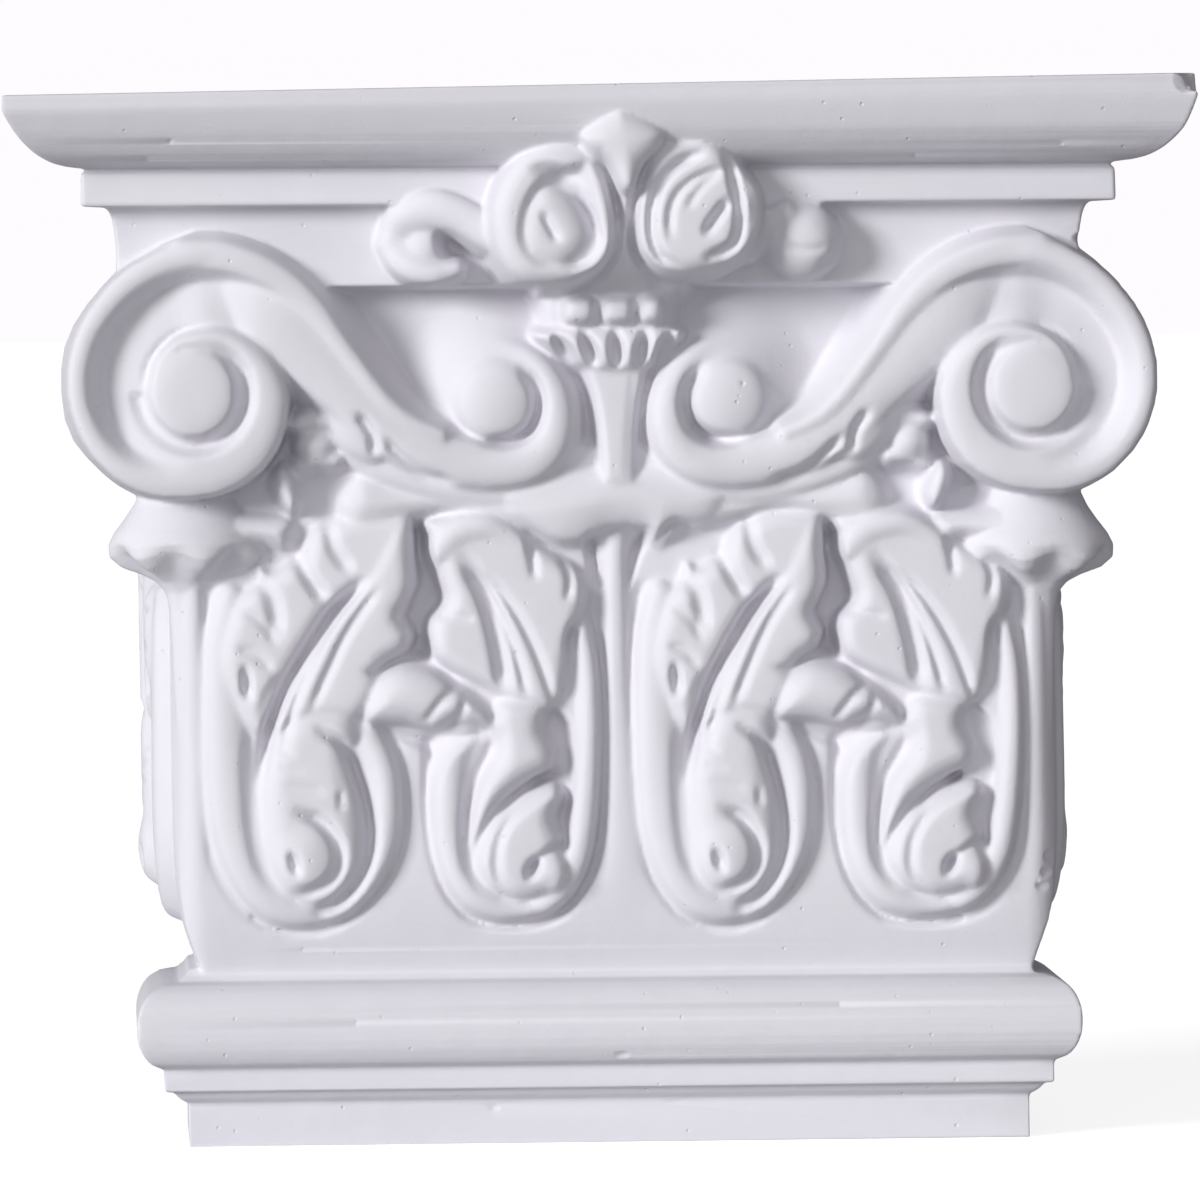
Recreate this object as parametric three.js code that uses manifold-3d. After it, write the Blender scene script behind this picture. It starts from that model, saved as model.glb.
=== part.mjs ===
// Pilaster capital in cast plaster, one solid.
// Millimetres, +Z up. The origin is the middle of the plinth's underside, +X runs along the width,
// the front faces -Y and the flat back stands at +Y.
import * as THREE from 'three';
import { mergeVertices } from 'three/addons/utils/BufferGeometryUtils.js';
import Module from 'manifold-3d';

const wasm = await Module();
wasm.setup();

// Driving dimensions.
const PLINTH_WIDTH = 197;
const PLINTH_DEPTH = 44;
const HEIGHT = 249.4;
const HALF_WIDTH = PLINTH_WIDTH / 2;
const HALF_DEPTH = PLINTH_DEPTH / 2;
const ABACUS_OVERHANG = 41.5;
const PLINTH_TOP = 10.3;
const FILLET_TOP = 18.4;
const FILLET_OVERHANG = 5.5;
const TORUS_TOP = 39;
const TORUS_OVERHANG = 11.5;
const BELL_FOOT = 40;
const BELL_OVERHANG = 4.5;
const FRIEZE_FOOT = 203;
const FRIEZE_TOP = 222;
const FRIEZE_OVERHANG = 15.5;
const BAND_TOP = 230;
const BAND_OVERHANG = 23.5;

// The scrolls.
const VOLUTE_X = 101;
const VOLUTE_Z = 181;
const EYE_RADIUS = 9.5;
const RIM_RADII = [13, 19, 24.5, 26.5, 28.3, 33.2];
const SCROLL_FACE = 23;
const SCROLL_FLOOR = 18.5;
const SMALL_X = 28;
const SMALL_Z = 176;
const SMALL_EYE_RADIUS = 8;
const SMALL_RIM_RADII = [10.5, 13, 15.5, 16.5];
const SMALL_FACE = 18;

// The leaf field.
const UNIT_PITCH = 97;
const CORNER_STALK_X = 102;
// The loops stretch to reach the corner stalks, and close up towards the middle stalk.
const CORNER_SPAN = 0.99;
const MIDDLE_SPAN = 0.88;
const RETURN_SPAN = 0.72;
const RETURN_DETAIL = 0.6;

// The flowers over the frieze.
const FLOWER_X = 17;
const FLOWER_Z = 221;
const FLOWER_RADIUS = 15.5;
const FLOWER_FACE = 37;
const PETAL_RADII = [12.6, 12.4, 12.2, 12, 11.6, 10.6];
const CURL_X = 44;
const CURL_Z = 213;

// How far each carved form is rooted in the body behind it.
const SUNK = 4;
// Edges closer together than this run into one.
const CAST_TOLERANCE = 0.1;

// A closed three.js geometry as a solid, turned right side out where its making has mirrored it.
function solid(geometry) {
  const bare = geometry.clone();
  bare.deleteAttribute('normal');
  bare.deleteAttribute('uv');
  const merged = mergeVertices(bare, 1e-4);
  const vertProperties = merged.attributes.position.array;
  const triVerts = Uint32Array.from(merged.index.array);
  const shape = new wasm.Manifold(new wasm.Mesh({ numProp: 3, vertProperties, triVerts }));
  if (shape.volume() > 0) return shape;
  return new wasm.Manifold(new wasm.Mesh({ numProp: 3, vertProperties, triVerts: triVerts.reverse() }));
}

// Each carved face takes (u, z, h): along the face, up, and out from the plinth's face below it.
const front = (u, z, h) => new THREE.Vector3(u, -HALF_DEPTH - h, z);
const leftReturn = (u, z, h) => new THREE.Vector3(-HALF_WIDTH - h, u, z);
const rightReturn = (u, z, h) => new THREE.Vector3(HALF_WIDTH + h, u, z);

function reshape(geometry, move) {
  const position = geometry.attributes.position;
  const point = new THREE.Vector3();
  for (let i = 0; i < position.count; i += 1) {
    point.copy(move(new THREE.Vector3().fromBufferAttribute(position, i)));
    position.setXYZ(i, point.x, point.y, point.z);
  }
  return solid(geometry);
}

// The block: one rectangle for each [height, overhang], so the mouldings mitre at both corners.
function block(levels) {
  const geometry = new THREE.BoxGeometry(1, 1, 1, 1, 1, levels.length - 1);
  return reshape(geometry, (at) => {
    const [z, overhang] = levels[Math.round((at.z + 0.5) * (levels.length - 1))];
    const x = Math.sign(at.x) * (HALF_WIDTH + overhang);
    const y = at.y < 0 ? -HALF_DEPTH - overhang : HALF_DEPTH;
    return new THREE.Vector3(x, y, z);
  });
}

function arcLevels(zFrom, zTo, from, to, steps, rise) {
  const levels = [];
  for (let i = 0; i <= steps; i += 1) {
    const t = i / steps;
    levels.push([zFrom + (zTo - zFrom) * t, from + (to - from) * rise(t)]);
  }
  return levels;
}

const quarter = (t) => Math.sin(t * Math.PI / 2);
const swell = (t) => Math.sqrt(Math.max(0, 1 - (2 * t - 1) ** 2));

// A smooth curve in the plane of a face, through the [u, z] of each row.
function smooth(rows) {
  return new THREE.CatmullRomCurve3(rows.map(([u, z]) => new THREE.Vector3(u, z, 0)), false, 'centripetal');
}

// A ridge along a row of [u, z, h, half width] stations: round on top, sunk into the body below.
function ridge(place, stations, { rise = 3, sunk = SUNK, steps = 24, sides = 6 } = {}) {
  const path = smooth(stations);
  const sizes = new THREE.CatmullRomCurve3(stations.map(([, , h, w]) => new THREE.Vector3(h, w, 0)));
  const geometry = new THREE.CylinderGeometry(1, 1, 1, sides, steps);
  return reshape(geometry, (at) => {
    const t = 0.5 - at.y;
    const middle = path.getPoint(t);
    const along = path.getTangent(t);
    const size = sizes.getPoint(t);
    const radius = Math.hypot(at.x, at.z);
    const angle = Math.atan2(at.z, at.x);
    const across = Math.cos(angle) * radius * size.y;
    const up = Math.sin(angle) * radius * (Math.sin(angle) > 0 ? rise : sunk);
    return place(middle.x - along.y * across, middle.y + along.x * across, size.x + up);
  });
}

// A blade between two rails of [u, z], crowned in the middle and notched `lobes` times along the
// second rail.
function blade(place, railA, railB, { foot = 2, height = 5, lobes = 0, bite = 0, steps = 12, cross = 3 }) {
  const [a, b] = [smooth(railA), smooth(railB)];
  const geometry = new THREE.BoxGeometry(1, 1, 1, steps, cross, 1);
  return reshape(geometry, (at) => {
    const t = at.x + 0.5;
    const s = at.y + 0.5;
    const notch = bite * s * (0.5 + 0.5 * Math.cos(2 * Math.PI * lobes * t));
    const here = a.getPoint(t).lerp(b.getPoint(t), s * (1 - notch));
    const across = 0.35 + 0.65 * Math.sin(Math.PI * (0.15 + 0.7 * s));
    const along = 0.55 + 0.45 * Math.sin(Math.PI * t);
    const crown = height * across * along;
    return place(here.x, here.y, at.z > 0 ? foot + crown : foot - SUNK);
  });
}

function dome(place, [u, z, h], [ru, rz, rh], round = 10, tall = 6) {
  const geometry = new THREE.SphereGeometry(1, round, tall);
  return reshape(geometry, (at) => place(u + ru * at.x, z + rz * at.z, h + rh * at.y));
}

// An upright turned form about (x, y): one [z, radius] for each ring, with its edge cut into sepals.
function turned(x, y, rings, { sides = 12, sepals = 0, bite = 0 } = {}) {
  const geometry = new THREE.CylinderGeometry(1, 1, 1, sides, rings.length - 1);
  return reshape(geometry, (at) => {
    const [z, radius] = rings[Math.round((at.y + 0.5) * (rings.length - 1))];
    const angle = Math.atan2(at.z, at.x);
    const out = Math.hypot(at.x, at.z) * radius * (1 + bite * Math.cos(sepals * angle));
    return new THREE.Vector3(x + out * Math.cos(angle), y + out * Math.sin(angle), z);
  });
}

// Stations of a spiral about (u, z), with one radius for each quarter turn from the eye's outer side.
function spiral(u, z, radii, side, firstAngle, turn, h, width) {
  const stations = [];
  radii.forEach((radius, i) => {
    const next = radii[Math.min(i + 1, radii.length - 1)];
    for (const part of i < radii.length - 1 ? [0, 0.5] : [0]) {
      const angle = firstAngle + turn * (i + part) * Math.PI / 2;
      const reach = radius + (next - radius) * part;
      stations.push([u + side * reach * Math.cos(angle), z + reach * Math.sin(angle), h, width]);
    }
  });
  return stations;
}

const mirrorRow = (row, side) => row.map(([u, ...rest]) => [side * u, ...rest]);

// A round boss standing out of the front: its edge leans in by `lean` from foot to face.
function boss(u, z, [hFoot, hFace], radius, lean, sides) {
  const geometry = new THREE.CylinderGeometry(radius - lean, radius, 1, sides, 1);
  return reshape(geometry, (at) => front(u + at.x, z + at.z, at.y > 0 ? hFace : hFoot));
}

// One S-scroll with its two volutes. `side` is -1 on the left and 1 on the right.
function scroll(side) {
  const [u, smallU] = [side * VOLUTE_X, side * SMALL_X];
  const rim = spiral(u, VOLUTE_Z, RIM_RADII, side, 0, 1, SCROLL_FACE - 3, 3.4);
  const slope = mirrorRow([
    [91, 213.3, 20, 3.8], [80, 209, 19, 4], [70.5, 200.5, 18, 4.2], [62, 188, 16, 4.4],
    [54, 176.5, 14, 4.4], [46, 168.5, 13, 4.4], [37, 163, 12.5, 4.2],
  ], side);
  const hook = spiral(smallU, SMALL_Z, SMALL_RIM_RADII, -side, -3 * Math.PI / 4, 1, SMALL_FACE - 5, 3.3);
  const web = { foot: 11, height: 4, steps: 7, cross: 2 };
  const webTop = mirrorRow([[106, 210], [88, 208], [74, 198], [62, 182], [50, 169], [36, 163]], side);
  const webFoot = mirrorRow([[98, 196], [84, 190], [76, 176], [66, 167], [52, 158], [36, 156]], side);
  const under = mirrorRow([
    [68, 163, 6, 3], [56, 158, 8, 4], [42, 155.5, 9, 4], [26, 155, 8, 4], [8, 160, 6, 3],
  ], side);
  const dropOuter = mirrorRow([[79, 168], [81, 160], [78, 149]], side);
  const dropInner = mirrorRow([[70, 168], [72, 158], [76, 149]], side);
  return [
    ridge(front, rim.concat(slope), { rise: 3.5, sunk: 10, steps: 36, sides: 5 }),
    ridge(front, hook, { rise: 3, sunk: 8, steps: 15, sides: 5 }),
    ridge(front, under, { rise: 3, steps: 8, sides: 5 }),
    blade(front, webTop, webFoot, web),
    boss(u, VOLUTE_Z, [2, SCROLL_FLOOR], 28, 0, 18),
    boss(u, VOLUTE_Z, [SCROLL_FLOOR - 1, SCROLL_FACE + 1], EYE_RADIUS, 2, 14),
    boss(smallU, SMALL_Z, [2, SMALL_FACE - 5], 15.5, 1, 18),
    boss(smallU, SMALL_Z, [SMALL_FACE - 6, SMALL_FACE], SMALL_EYE_RADIUS, 2, 12),
    dome(front, [side * 72, 169, 8], [5, 4.5, 6], 8, 6),
    blade(front, dropOuter, dropInner, { foot: 4, height: 5, steps: 4, cross: 2 }),
  ];
}

// One loop of the leaf field, with the tall leaf that its outer arm feeds and the curled leaf inside
// it. v runs from the short stalk at `u` towards `side`, stretched by `span`.
function leafLoop(place, u, side, span, inner, detail = 1) {
  const fine = (count) => Math.ceil(count * detail);
  const row = (points) => points.map(([v, ...rest]) => [u + side * (inner + v * span), ...rest]);
  const arm = row([
    [45, 131, 5, 3.6], [46, 110, 6, 4.2], [44.5, 88, 6, 4.4], [40, 69, 6, 4.2], [32, 57, 5.5, 3.6],
    [21, 54, 5.5, 2.6], [11.5, 60, 5.5, 2.2], [7, 71, 5.5, 2], [6.5, 84, 5.5, 2], [8, 97, 5, 2],
  ]);
  const fold = row([[36, 92], [28.5, 111], [18.5, 126], [7.5, 140], [2.5, 147]]);
  const tipEdge = row([[31, 92], [20, 104], [10, 112.5], [2.5, 119], [1, 133], [1.5, 147]]);
  const backEdge = row([[39.5, 92], [43, 108], [45.5, 118], [40, 130], [28, 137], [17, 146.5], [3.5, 149]]);
  const curlBack = row([[27, 54], [35, 62], [37.5, 75], [36.5, 89], [30, 102], [17, 104.5]]);
  const curlFace = row([[24, 54], [15, 60], [12, 72], [13, 84], [17, 92], [12, 101]]);
  return [
    ridge(place, arm, { rise: 2.2, steps: fine(15), sides: 4 }),
    blade(place, fold, tipEdge, { foot: BELL_OVERHANG, height: 6.5, lobes: 3, bite: 0.3, steps: fine(8), cross: 2 }),
    blade(place, fold, backEdge, { foot: BELL_OVERHANG, height: 5, lobes: 3, bite: 0.25, steps: fine(8), cross: 1 }),
    blade(place, curlFace, curlBack, { foot: BELL_OVERHANG, height: 6, lobes: 3, bite: 0.15, steps: fine(8), cross: 2 }),
  ];
}

// A short stalk with the bud on it, between two loops.
function shortStalk(u) {
  const stalk = [[u, 46, 2, 12], [u, 55, 3.5, 8.5], [u, 66, 4.5, 5], [u, 80, 5, 3.3], [u, 102, 6, 3.2]];
  return [
    ridge(front, stalk, { rise: 2.2, steps: 6, sides: 5 }),
    dome(front, [u, 106, 7], [9, 8.5, 7], 8, 6),
    dome(front, [u - 9, 103.5, 5], [5, 4.5, 6], 6, 4),
    dome(front, [u + 13, 103.5, 5], [6, 4, 6], 6, 4),
  ];
}

// The middle stalk with its bell, the shaft that stands on it, its cup and its beads.
function middle() {
  const stalk = [[0, 44, 2, 22], [0, 56, 4, 10], [0, 68, 5, 5.5], [0, 84, 5.5, 3.4], [0, 128, 6, 2.6]];
  const bell = [[122, 3], [130, 5], [136, 10], [141, 15.5], [146, 17.5], [151, 15.5], [155, 11], [158, 6]];
  const shaft = [[150, 6.5], [160, 5.8], [172, 6.2], [183, 8]];
  const cup = [[182, 7], [186, 11], [190, 16.5], [192.5, 16.5], [195, 12]];
  const bulb = [[204, 9], [214, 5], [228, 4.5], [235, 8], [239.5, 10], [243, 7], [246.5, 1]];
  const beads = [-8, 0, 8].map((u) => dome(front, [u, 198, 14], [4.3, 4, 6.5], 6, 6));
  return [
    ridge(front, stalk, { rise: 2.5, steps: 8, sides: 5 }),
    turned(0, -HALF_DEPTH - 2, bell, { sides: 10, sepals: 5, bite: 0.06 }),
    turned(0, -HALF_DEPTH - 8, shaft, { sides: 8 }),
    turned(0, -HALF_DEPTH - 8, cup, { sides: 12, sepals: 6, bite: 0.05 }),
    turned(0, -HALF_DEPTH - 33, bulb, { sides: 8 }),
    boss(0, 205, [4, 27], 10, 2, 10),
    ...beads,
  ];
}

// A corner stalk and its bud under the big volute.
function corner(side) {
  const bud = [
    [58, 3], [75, 4.2], [115, 4], [126, 5], [131, 9], [135, 14], [140, 18], [145, 17], [150, 12.5], [154, 6],
  ];
  return [turned(side * CORNER_STALK_X, -HALF_DEPTH - 1.5, bud, { sides: 10, sepals: 5, bite: 0.06 })];
}

// A flower over the frieze: an outer cup, its rolled rim and the closed bud, with the curl beside it.
function flower(side) {
  const u = side * FLOWER_X;
  const ring = spiral(u, FLOWER_Z, PETAL_RADII, side, -Math.PI / 2, 1, FLOWER_FACE - 4, 2.4);
  const curl = spiral(side * CURL_X, CURL_Z, [6, 6.5, 7, 7], side, -Math.PI / 2, 1, 24, 3);
  const link = mirrorRow([[38, 207, 24, 3], [31, 211, 26, 3], [27, 216, 27, 3]], side);
  return [
    dome(front, [u, FLOWER_Z, 24], [FLOWER_RADIUS, 17.5, FLOWER_FACE - 27], 10, 6),
    ridge(front, ring, { rise: 3.2, steps: 14, sides: 4 }),
    dome(front, [u, FLOWER_Z - 3, 31], [8, 8.5, 7], 8, 6),
    ridge(front, curl, { rise: 3.5, sunk: 12, steps: 11, sides: 4 }),
    ridge(front, link, { rise: 3, sunk: 12, steps: 4, sides: 4 }),
    dome(front, [side * (CURL_X - 2), CURL_Z - 3, 20], [6, 5.5, 7], 6, 6),
  ];
}

const NODE = 'pilaster_capital';
const levels = [
  [0, 0], [PLINTH_TOP, 0], [PLINTH_TOP + 0.4, 1.2], [13, FILLET_OVERHANG - 1.2], [13.4, FILLET_OVERHANG],
  [FILLET_TOP, FILLET_OVERHANG],
  ...arcLevels(FILLET_TOP, TORUS_TOP, FILLET_OVERHANG, TORUS_OVERHANG, 10, swell),
  [BELL_FOOT, 0.4],
  ...arcLevels(BELL_FOOT + 2, 75, 0.6, BELL_OVERHANG, 4, quarter),
  [FRIEZE_FOOT, BELL_OVERHANG], [FRIEZE_FOOT + 0.3, FRIEZE_OVERHANG], [212, FRIEZE_OVERHANG],
  [FRIEZE_TOP - 3, FRIEZE_OVERHANG + 1.5], [FRIEZE_TOP, BAND_OVERHANG - 3], [FRIEZE_TOP + 0.3, BAND_OVERHANG],
  [BAND_TOP, BAND_OVERHANG], [BAND_TOP + 0.3, BAND_OVERHANG - 1],
  ...arcLevels(BAND_TOP + 1.3, HEIGHT - 2.5, BAND_OVERHANG + 1, ABACUS_OVERHANG, 6, quarter),
  [HEIGHT, ABACUS_OVERHANG],
];

const parts = [block(levels), ...middle()];
for (const side of [-1, 1]) {
  const stalk = side * UNIT_PITCH / 2;
  const returnFace = side < 0 ? leftReturn : rightReturn;
  parts.push(...scroll(side), ...corner(side), ...flower(side), ...shortStalk(stalk));
  parts.push(...leafLoop(front, stalk, side, CORNER_SPAN, 0));
  parts.push(...leafLoop(front, stalk, -side, MIDDLE_SPAN, 0));
  parts.push(...leafLoop(returnFace, HALF_DEPTH - 6, -1, RETURN_SPAN, 0, RETURN_DETAIL));
}

// The outer skin is the casting: any pocket closed in between two carved forms is plaster too.
const joined = parts.reduce((sum, part) => sum.add(part)).simplify(CAST_TOLERANCE);
const whole = joined.decompose().reduce((most, body) => (body.volume() > most.volume() ? body : most));
const { vertProperties, triVerts } = whole.getMesh();
const geometry = new THREE.BufferGeometry();
geometry.setAttribute('position', new THREE.BufferAttribute(vertProperties, 3));
geometry.setIndex(new THREE.BufferAttribute(triVerts, 1));
geometry.computeVertexNormals();
const plaster = new THREE.MeshStandardMaterial({ color: 0xe4e2e6, roughness: 0.6, metalness: 0 });
const capital = new THREE.Mesh(geometry, plaster);
capital.name = NODE;
const group = new THREE.Group();
group.add(capital);
export default group;
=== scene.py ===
"""A cast plaster pilaster capital, carved in relief and finished as one casting."""

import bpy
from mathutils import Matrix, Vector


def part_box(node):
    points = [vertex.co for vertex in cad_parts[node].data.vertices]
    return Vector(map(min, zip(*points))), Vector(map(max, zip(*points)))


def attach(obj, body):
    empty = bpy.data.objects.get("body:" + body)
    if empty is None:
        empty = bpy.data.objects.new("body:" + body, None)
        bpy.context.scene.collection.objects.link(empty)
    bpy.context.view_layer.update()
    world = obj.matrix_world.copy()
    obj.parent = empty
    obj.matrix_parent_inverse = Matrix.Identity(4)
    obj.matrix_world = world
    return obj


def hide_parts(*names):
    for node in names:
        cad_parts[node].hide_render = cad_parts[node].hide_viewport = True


bl_info = {
    "name": "Plaster Pilaster Capital",
    "version": (1, 0, 0),
    "blender": (4, 5, 0),
    "location": "3D View > Sidebar > Capital",
    "description": "Casts a plaster pilaster capital and sets it on a pale floor in soft light",
    "category": "Object",
}

import math

import bmesh
import bpy
import numpy as np
from mathutils import Vector

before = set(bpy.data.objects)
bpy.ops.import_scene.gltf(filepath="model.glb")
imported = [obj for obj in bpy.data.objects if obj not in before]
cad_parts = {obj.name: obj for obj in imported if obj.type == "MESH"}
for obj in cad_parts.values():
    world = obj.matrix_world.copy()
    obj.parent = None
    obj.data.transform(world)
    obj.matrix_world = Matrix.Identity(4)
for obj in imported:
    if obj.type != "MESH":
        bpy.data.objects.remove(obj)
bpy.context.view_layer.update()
NODE = "pilaster_capital"
LOW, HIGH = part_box(NODE)

MM = 0.001
CELL = 0.5
FAR = 1e6
TINY = 1e-6
EDGE_PASSES = 2

# How far past its own edge a stroke is worked out.
RIDGE_REACH = 6
PAD_REACH = 4.0
DOME_REACH = 4

# Sizes in millimetres. Overhangs and heights of the carving are measured out from the plinth's face.
HALF_WIDTH = 98.5
HALF_DEPTH = 22.0
HEIGHT = (HIGH[2] - LOW[2]) / MM
BELL_FOOT = 40.0
BELL_TOP = 203.0
CORE_SIDE = -7.0
CORE_FRONT = -1.2
PLATE_BACK = -18.5

# The carving sits a little off the middle, the body leans, and the top slopes up to the right.
ORNAMENT_SHIFT = 2.6
ORNAMENT_SCALE = 0.985
LOOP_LIFT = 1.8
LOOP_LEVELS = (50, 100)
LEAN = 2.6
TOP_SLOPE = 0.013
TOP_PIVOT = 0.02
TOP_BAND = (0.2380, 0.2494)


# ---------------------------------------------------------------- curves

def through(points, step=0.8):
    """A smooth run through rows of numbers; the first two of each row are its place on the face."""
    rows = np.asarray(points, float)
    if len(rows) == 2:
        count = max(2, int(np.hypot(*(rows[1] - rows[0])[:2]) / step) + 1)
        mix = np.linspace(0, 1, count)[:, None]
        return rows[0] * (1 - mix) + rows[1] * mix
    ends = np.vstack([2 * rows[0] - rows[1], rows, 2 * rows[-1] - rows[-2]])
    return catmull(ends, step)


def ring_through(points, step=0.8):
    """The same, closed on itself."""
    rows = np.asarray(points, float)
    return catmull(np.vstack([rows[-1:], rows, rows[:2]]), step)[:-1]


def catmull(rows, step):
    """Centripetal Catmull-Rom samples between the second and the last but one row."""
    runs = []
    for a, b, c, d in zip(rows[:-3], rows[1:-2], rows[2:-1], rows[3:]):
        t0 = 0.0
        t1 = t0 + max(1e-6, np.hypot(*(b - a)[:2])) ** 0.5
        t2 = t1 + max(1e-6, np.hypot(*(c - b)[:2])) ** 0.5
        t3 = t2 + max(1e-6, np.hypot(*(d - c)[:2])) ** 0.5
        count = max(2, int(np.hypot(*(c - b)[:2]) / step) + 1)
        t = np.linspace(t1, t2, count, endpoint=False)[:, None]
        ab = a * (t1 - t) / (t1 - t0) + b * (t - t0) / (t1 - t0)
        bc = b * (t2 - t) / (t2 - t1) + c * (t - t1) / (t2 - t1)
        cd = c * (t3 - t) / (t3 - t2) + d * (t - t2) / (t3 - t2)
        abc = ab * (t2 - t) / (t2 - t0) + bc * (t - t0) / (t2 - t0)
        bcd = bc * (t3 - t) / (t3 - t1) + cd * (t - t1) / (t3 - t1)
        runs.append(abc * (t2 - t) / (t2 - t1) + bcd * (t - t1) / (t2 - t1))
    return np.vstack(runs + [rows[-2:-1]])


# ---------------------------------------------------------------- the relief

def bell(z):
    """How far the bell stands out from the plinth's face at height z."""
    climb = np.clip((np.asarray(z, float) - 41) / 11, 0, None)
    return 0.4 + 5.8 * (1 - np.exp(-climb ** 1.3))


class Relief:
    """Heights over one face, carved by strokes: `out` is how far the face stands from the plinth's."""

    def __init__(self, x_range, z_range, cell=CELL):
        self.cell = cell
        self.x0, self.z0 = x_range[0], z_range[0]
        self.xs = np.arange(x_range[0], x_range[1] + cell / 2, cell)
        self.zs = np.arange(z_range[0], z_range[1] + cell / 2, cell)
        self.x, self.z = np.meshgrid(self.xs, self.zs)
        self.out = bell(self.z)

    def window(self, x_low, x_high, z_low, z_high):
        i0 = max(0, int((x_low - self.x0) / self.cell))
        i1 = min(len(self.xs), int((x_high - self.x0) / self.cell) + 2)
        j0 = max(0, int((z_low - self.z0) / self.cell))
        j1 = min(len(self.zs), int((z_high - self.z0) / self.cell) + 2)
        return slice(j0, max(j0, j1)), slice(i0, max(i0, i1))

    def near(self, path, reach):
        """For each cell near a run of places: its distance, and which row of the run it is nearest."""
        path = np.asarray(path, float)
        box = self.window(path[:, 0].min() - reach, path[:, 0].max() + reach,
                          path[:, 1].min() - reach, path[:, 1].max() + reach)
        x, z = self.x[box], self.z[box]
        away = np.full(x.shape, FAR)
        row = np.zeros(x.shape)
        for i in range(len(path) - 1):
            (ax, az), (bx, bz) = path[i][:2], path[i + 1][:2]
            part = self.window(min(ax, bx) - reach, max(ax, bx) + reach,
                               min(az, bz) - reach, max(az, bz) + reach)
            rows = slice(part[0].start - box[0].start, part[0].stop - box[0].start)
            columns = slice(part[1].start - box[1].start, part[1].stop - box[1].start)
            here = (rows, columns)
            dx, dz = bx - ax, bz - az
            along = ((x[here] - ax) * dx + (z[here] - az) * dz) / max(1e-9, dx * dx + dz * dz)
            along = np.clip(along, 0, 1)
            gap = np.hypot(x[here] - ax - along * dx, z[here] - az - along * dz)
            closer = gap < away[here]
            away[here] = np.where(closer, gap, away[here])
            row[here] = np.where(closer, i + along, row[here])
        return box, away, row

    def raise_to(self, box, height, soften):
        """Lifts the face to `height` where that is higher, with a fillet of about `soften`."""
        now = self.out[box]
        over = np.clip(soften - np.abs(now - height), 0, None)
        self.out[box] = np.maximum(now, height) + over * over / (4 * soften)

    def ridge(self, points, fall=2.5, soften=1.2, over_bell=True, steep=2.5):
        """A rounded ridge; each row is [x, z, crest height, half width]."""
        path = through(points)
        reach = path[:, 3].max() + RIDGE_REACH
        box, away, row = self.near(path, reach)
        rows = np.arange(len(path))
        crest = np.interp(row, rows, path[:, 2])
        half = np.interp(row, rows, path[:, 3])
        ratio = np.clip(away / half, 0, 1)
        height = crest - fall * (1 - np.sqrt(1 - ratio ** 2)) - np.clip(away - half, 0, None) * steep
        if over_bell:
            height = height + bell(self.z[box])
        height = np.where(away < reach, height, -FAR)
        self.raise_to(box, height, soften)

    def groove(self, points, half, depth, power=2.0, taper=True):
        """A groove with round lips that runs out at both ends."""
        path = through(points)
        box, away, row = self.near(path, half)
        ratio = np.clip(away / half, 0, 1)
        share = row / max(1, len(path) - 1)
        ends = np.clip(np.minimum(share, 1 - share) * 6 + 0.25, 0, 1) if taper else 1.0
        self.out[box] -= depth * ends * (1 - ratio ** 2) ** power

    def grooves(self, place, rows):
        """Several grooves; each row is its half width, its depth and its places."""
        for half, depth, *points in rows:
            self.groove(place(points), half, depth)

    def inside(self, outline, reach, sharp=False):
        """Signed distance to a closed outline, positive inside and never over `reach`."""
        ring = np.asarray(outline, float) if sharp else ring_through(outline)
        closed = np.vstack([ring, ring[:1]])
        box, away, _ = self.near(closed, reach)
        x, z = self.x[box], self.z[box]
        within = np.zeros(x.shape, bool)
        for (ax, az), (bx, bz) in zip(closed[:-1], closed[1:]):
            if az == bz:
                continue
            crosses = (az > z) != (bz > z)
            within ^= crosses & (x < ax + (bx - ax) * (z - az) / (bz - az))
        return box, np.where(within, np.minimum(away, reach), -np.minimum(away, reach))

    def pad(self, outline, foot, rise, round_off=5.0, soften=0.8, over_bell=True, steep=2.5, sharp=False):
        """A pillow over an outline, `rise` above its foot; `sharp` keeps the outline's corners."""
        reach = max(round_off, PAD_REACH)
        box, depth = self.inside(outline, reach, sharp)
        ratio = np.clip(depth / round_off, 0, 1)
        height = foot + rise * np.sqrt(1 - (1 - ratio) ** 2) + np.clip(depth, None, 0) * steep
        if over_bell:
            height = height + bell(self.z[box])
        height = np.where(depth > -reach + TINY, height, -FAR)
        self.raise_to(box, height, soften)

    def sink(self, outline, depth, slope=2.0):
        """Lowers the face inside an outline, down a wall `slope` wide."""
        box, deep = self.inside(outline, max(slope, 1.0))
        share = np.clip(deep / slope, 0, 1)
        self.out[box] -= depth * share * share * (3 - 2 * share)

    def dome(self, middle, radii, foot, rise, turn=0.0, soften=1.0, over_bell=False, steep=2.5):
        """Half an egg, with the face's own height left round it."""
        reach = max(radii) + DOME_REACH
        box = self.window(middle[0] - reach, middle[0] + reach, middle[1] - reach, middle[1] + reach)
        x, z = self.x[box] - middle[0], self.z[box] - middle[1]
        c, s = math.cos(math.radians(turn)), math.sin(math.radians(turn))
        ratio = np.hypot((x * c + z * s) / radii[0], (z * c - x * s) / radii[1])
        height = foot + rise * np.sqrt(np.clip(1 - ratio ** 2, 0, None))
        height = height - np.clip(ratio - 1, 0, None) * min(radii) * steep
        if over_bell:
            height = height + bell(self.z[box])
        self.raise_to(box, height, soften)

    def mound(self, middle, reach, foot, rise):
        """A low hill that starts and ends level."""
        box = self.window(middle[0] - reach, middle[0] + reach, middle[1] - reach, middle[1] + reach)
        away = np.hypot(self.x[box] - middle[0], self.z[box] - middle[1])
        height = foot + rise * (1 - ease(0, reach, away))
        self.raise_to(box, np.where(away < reach, height, -FAR), 1.0)

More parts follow.
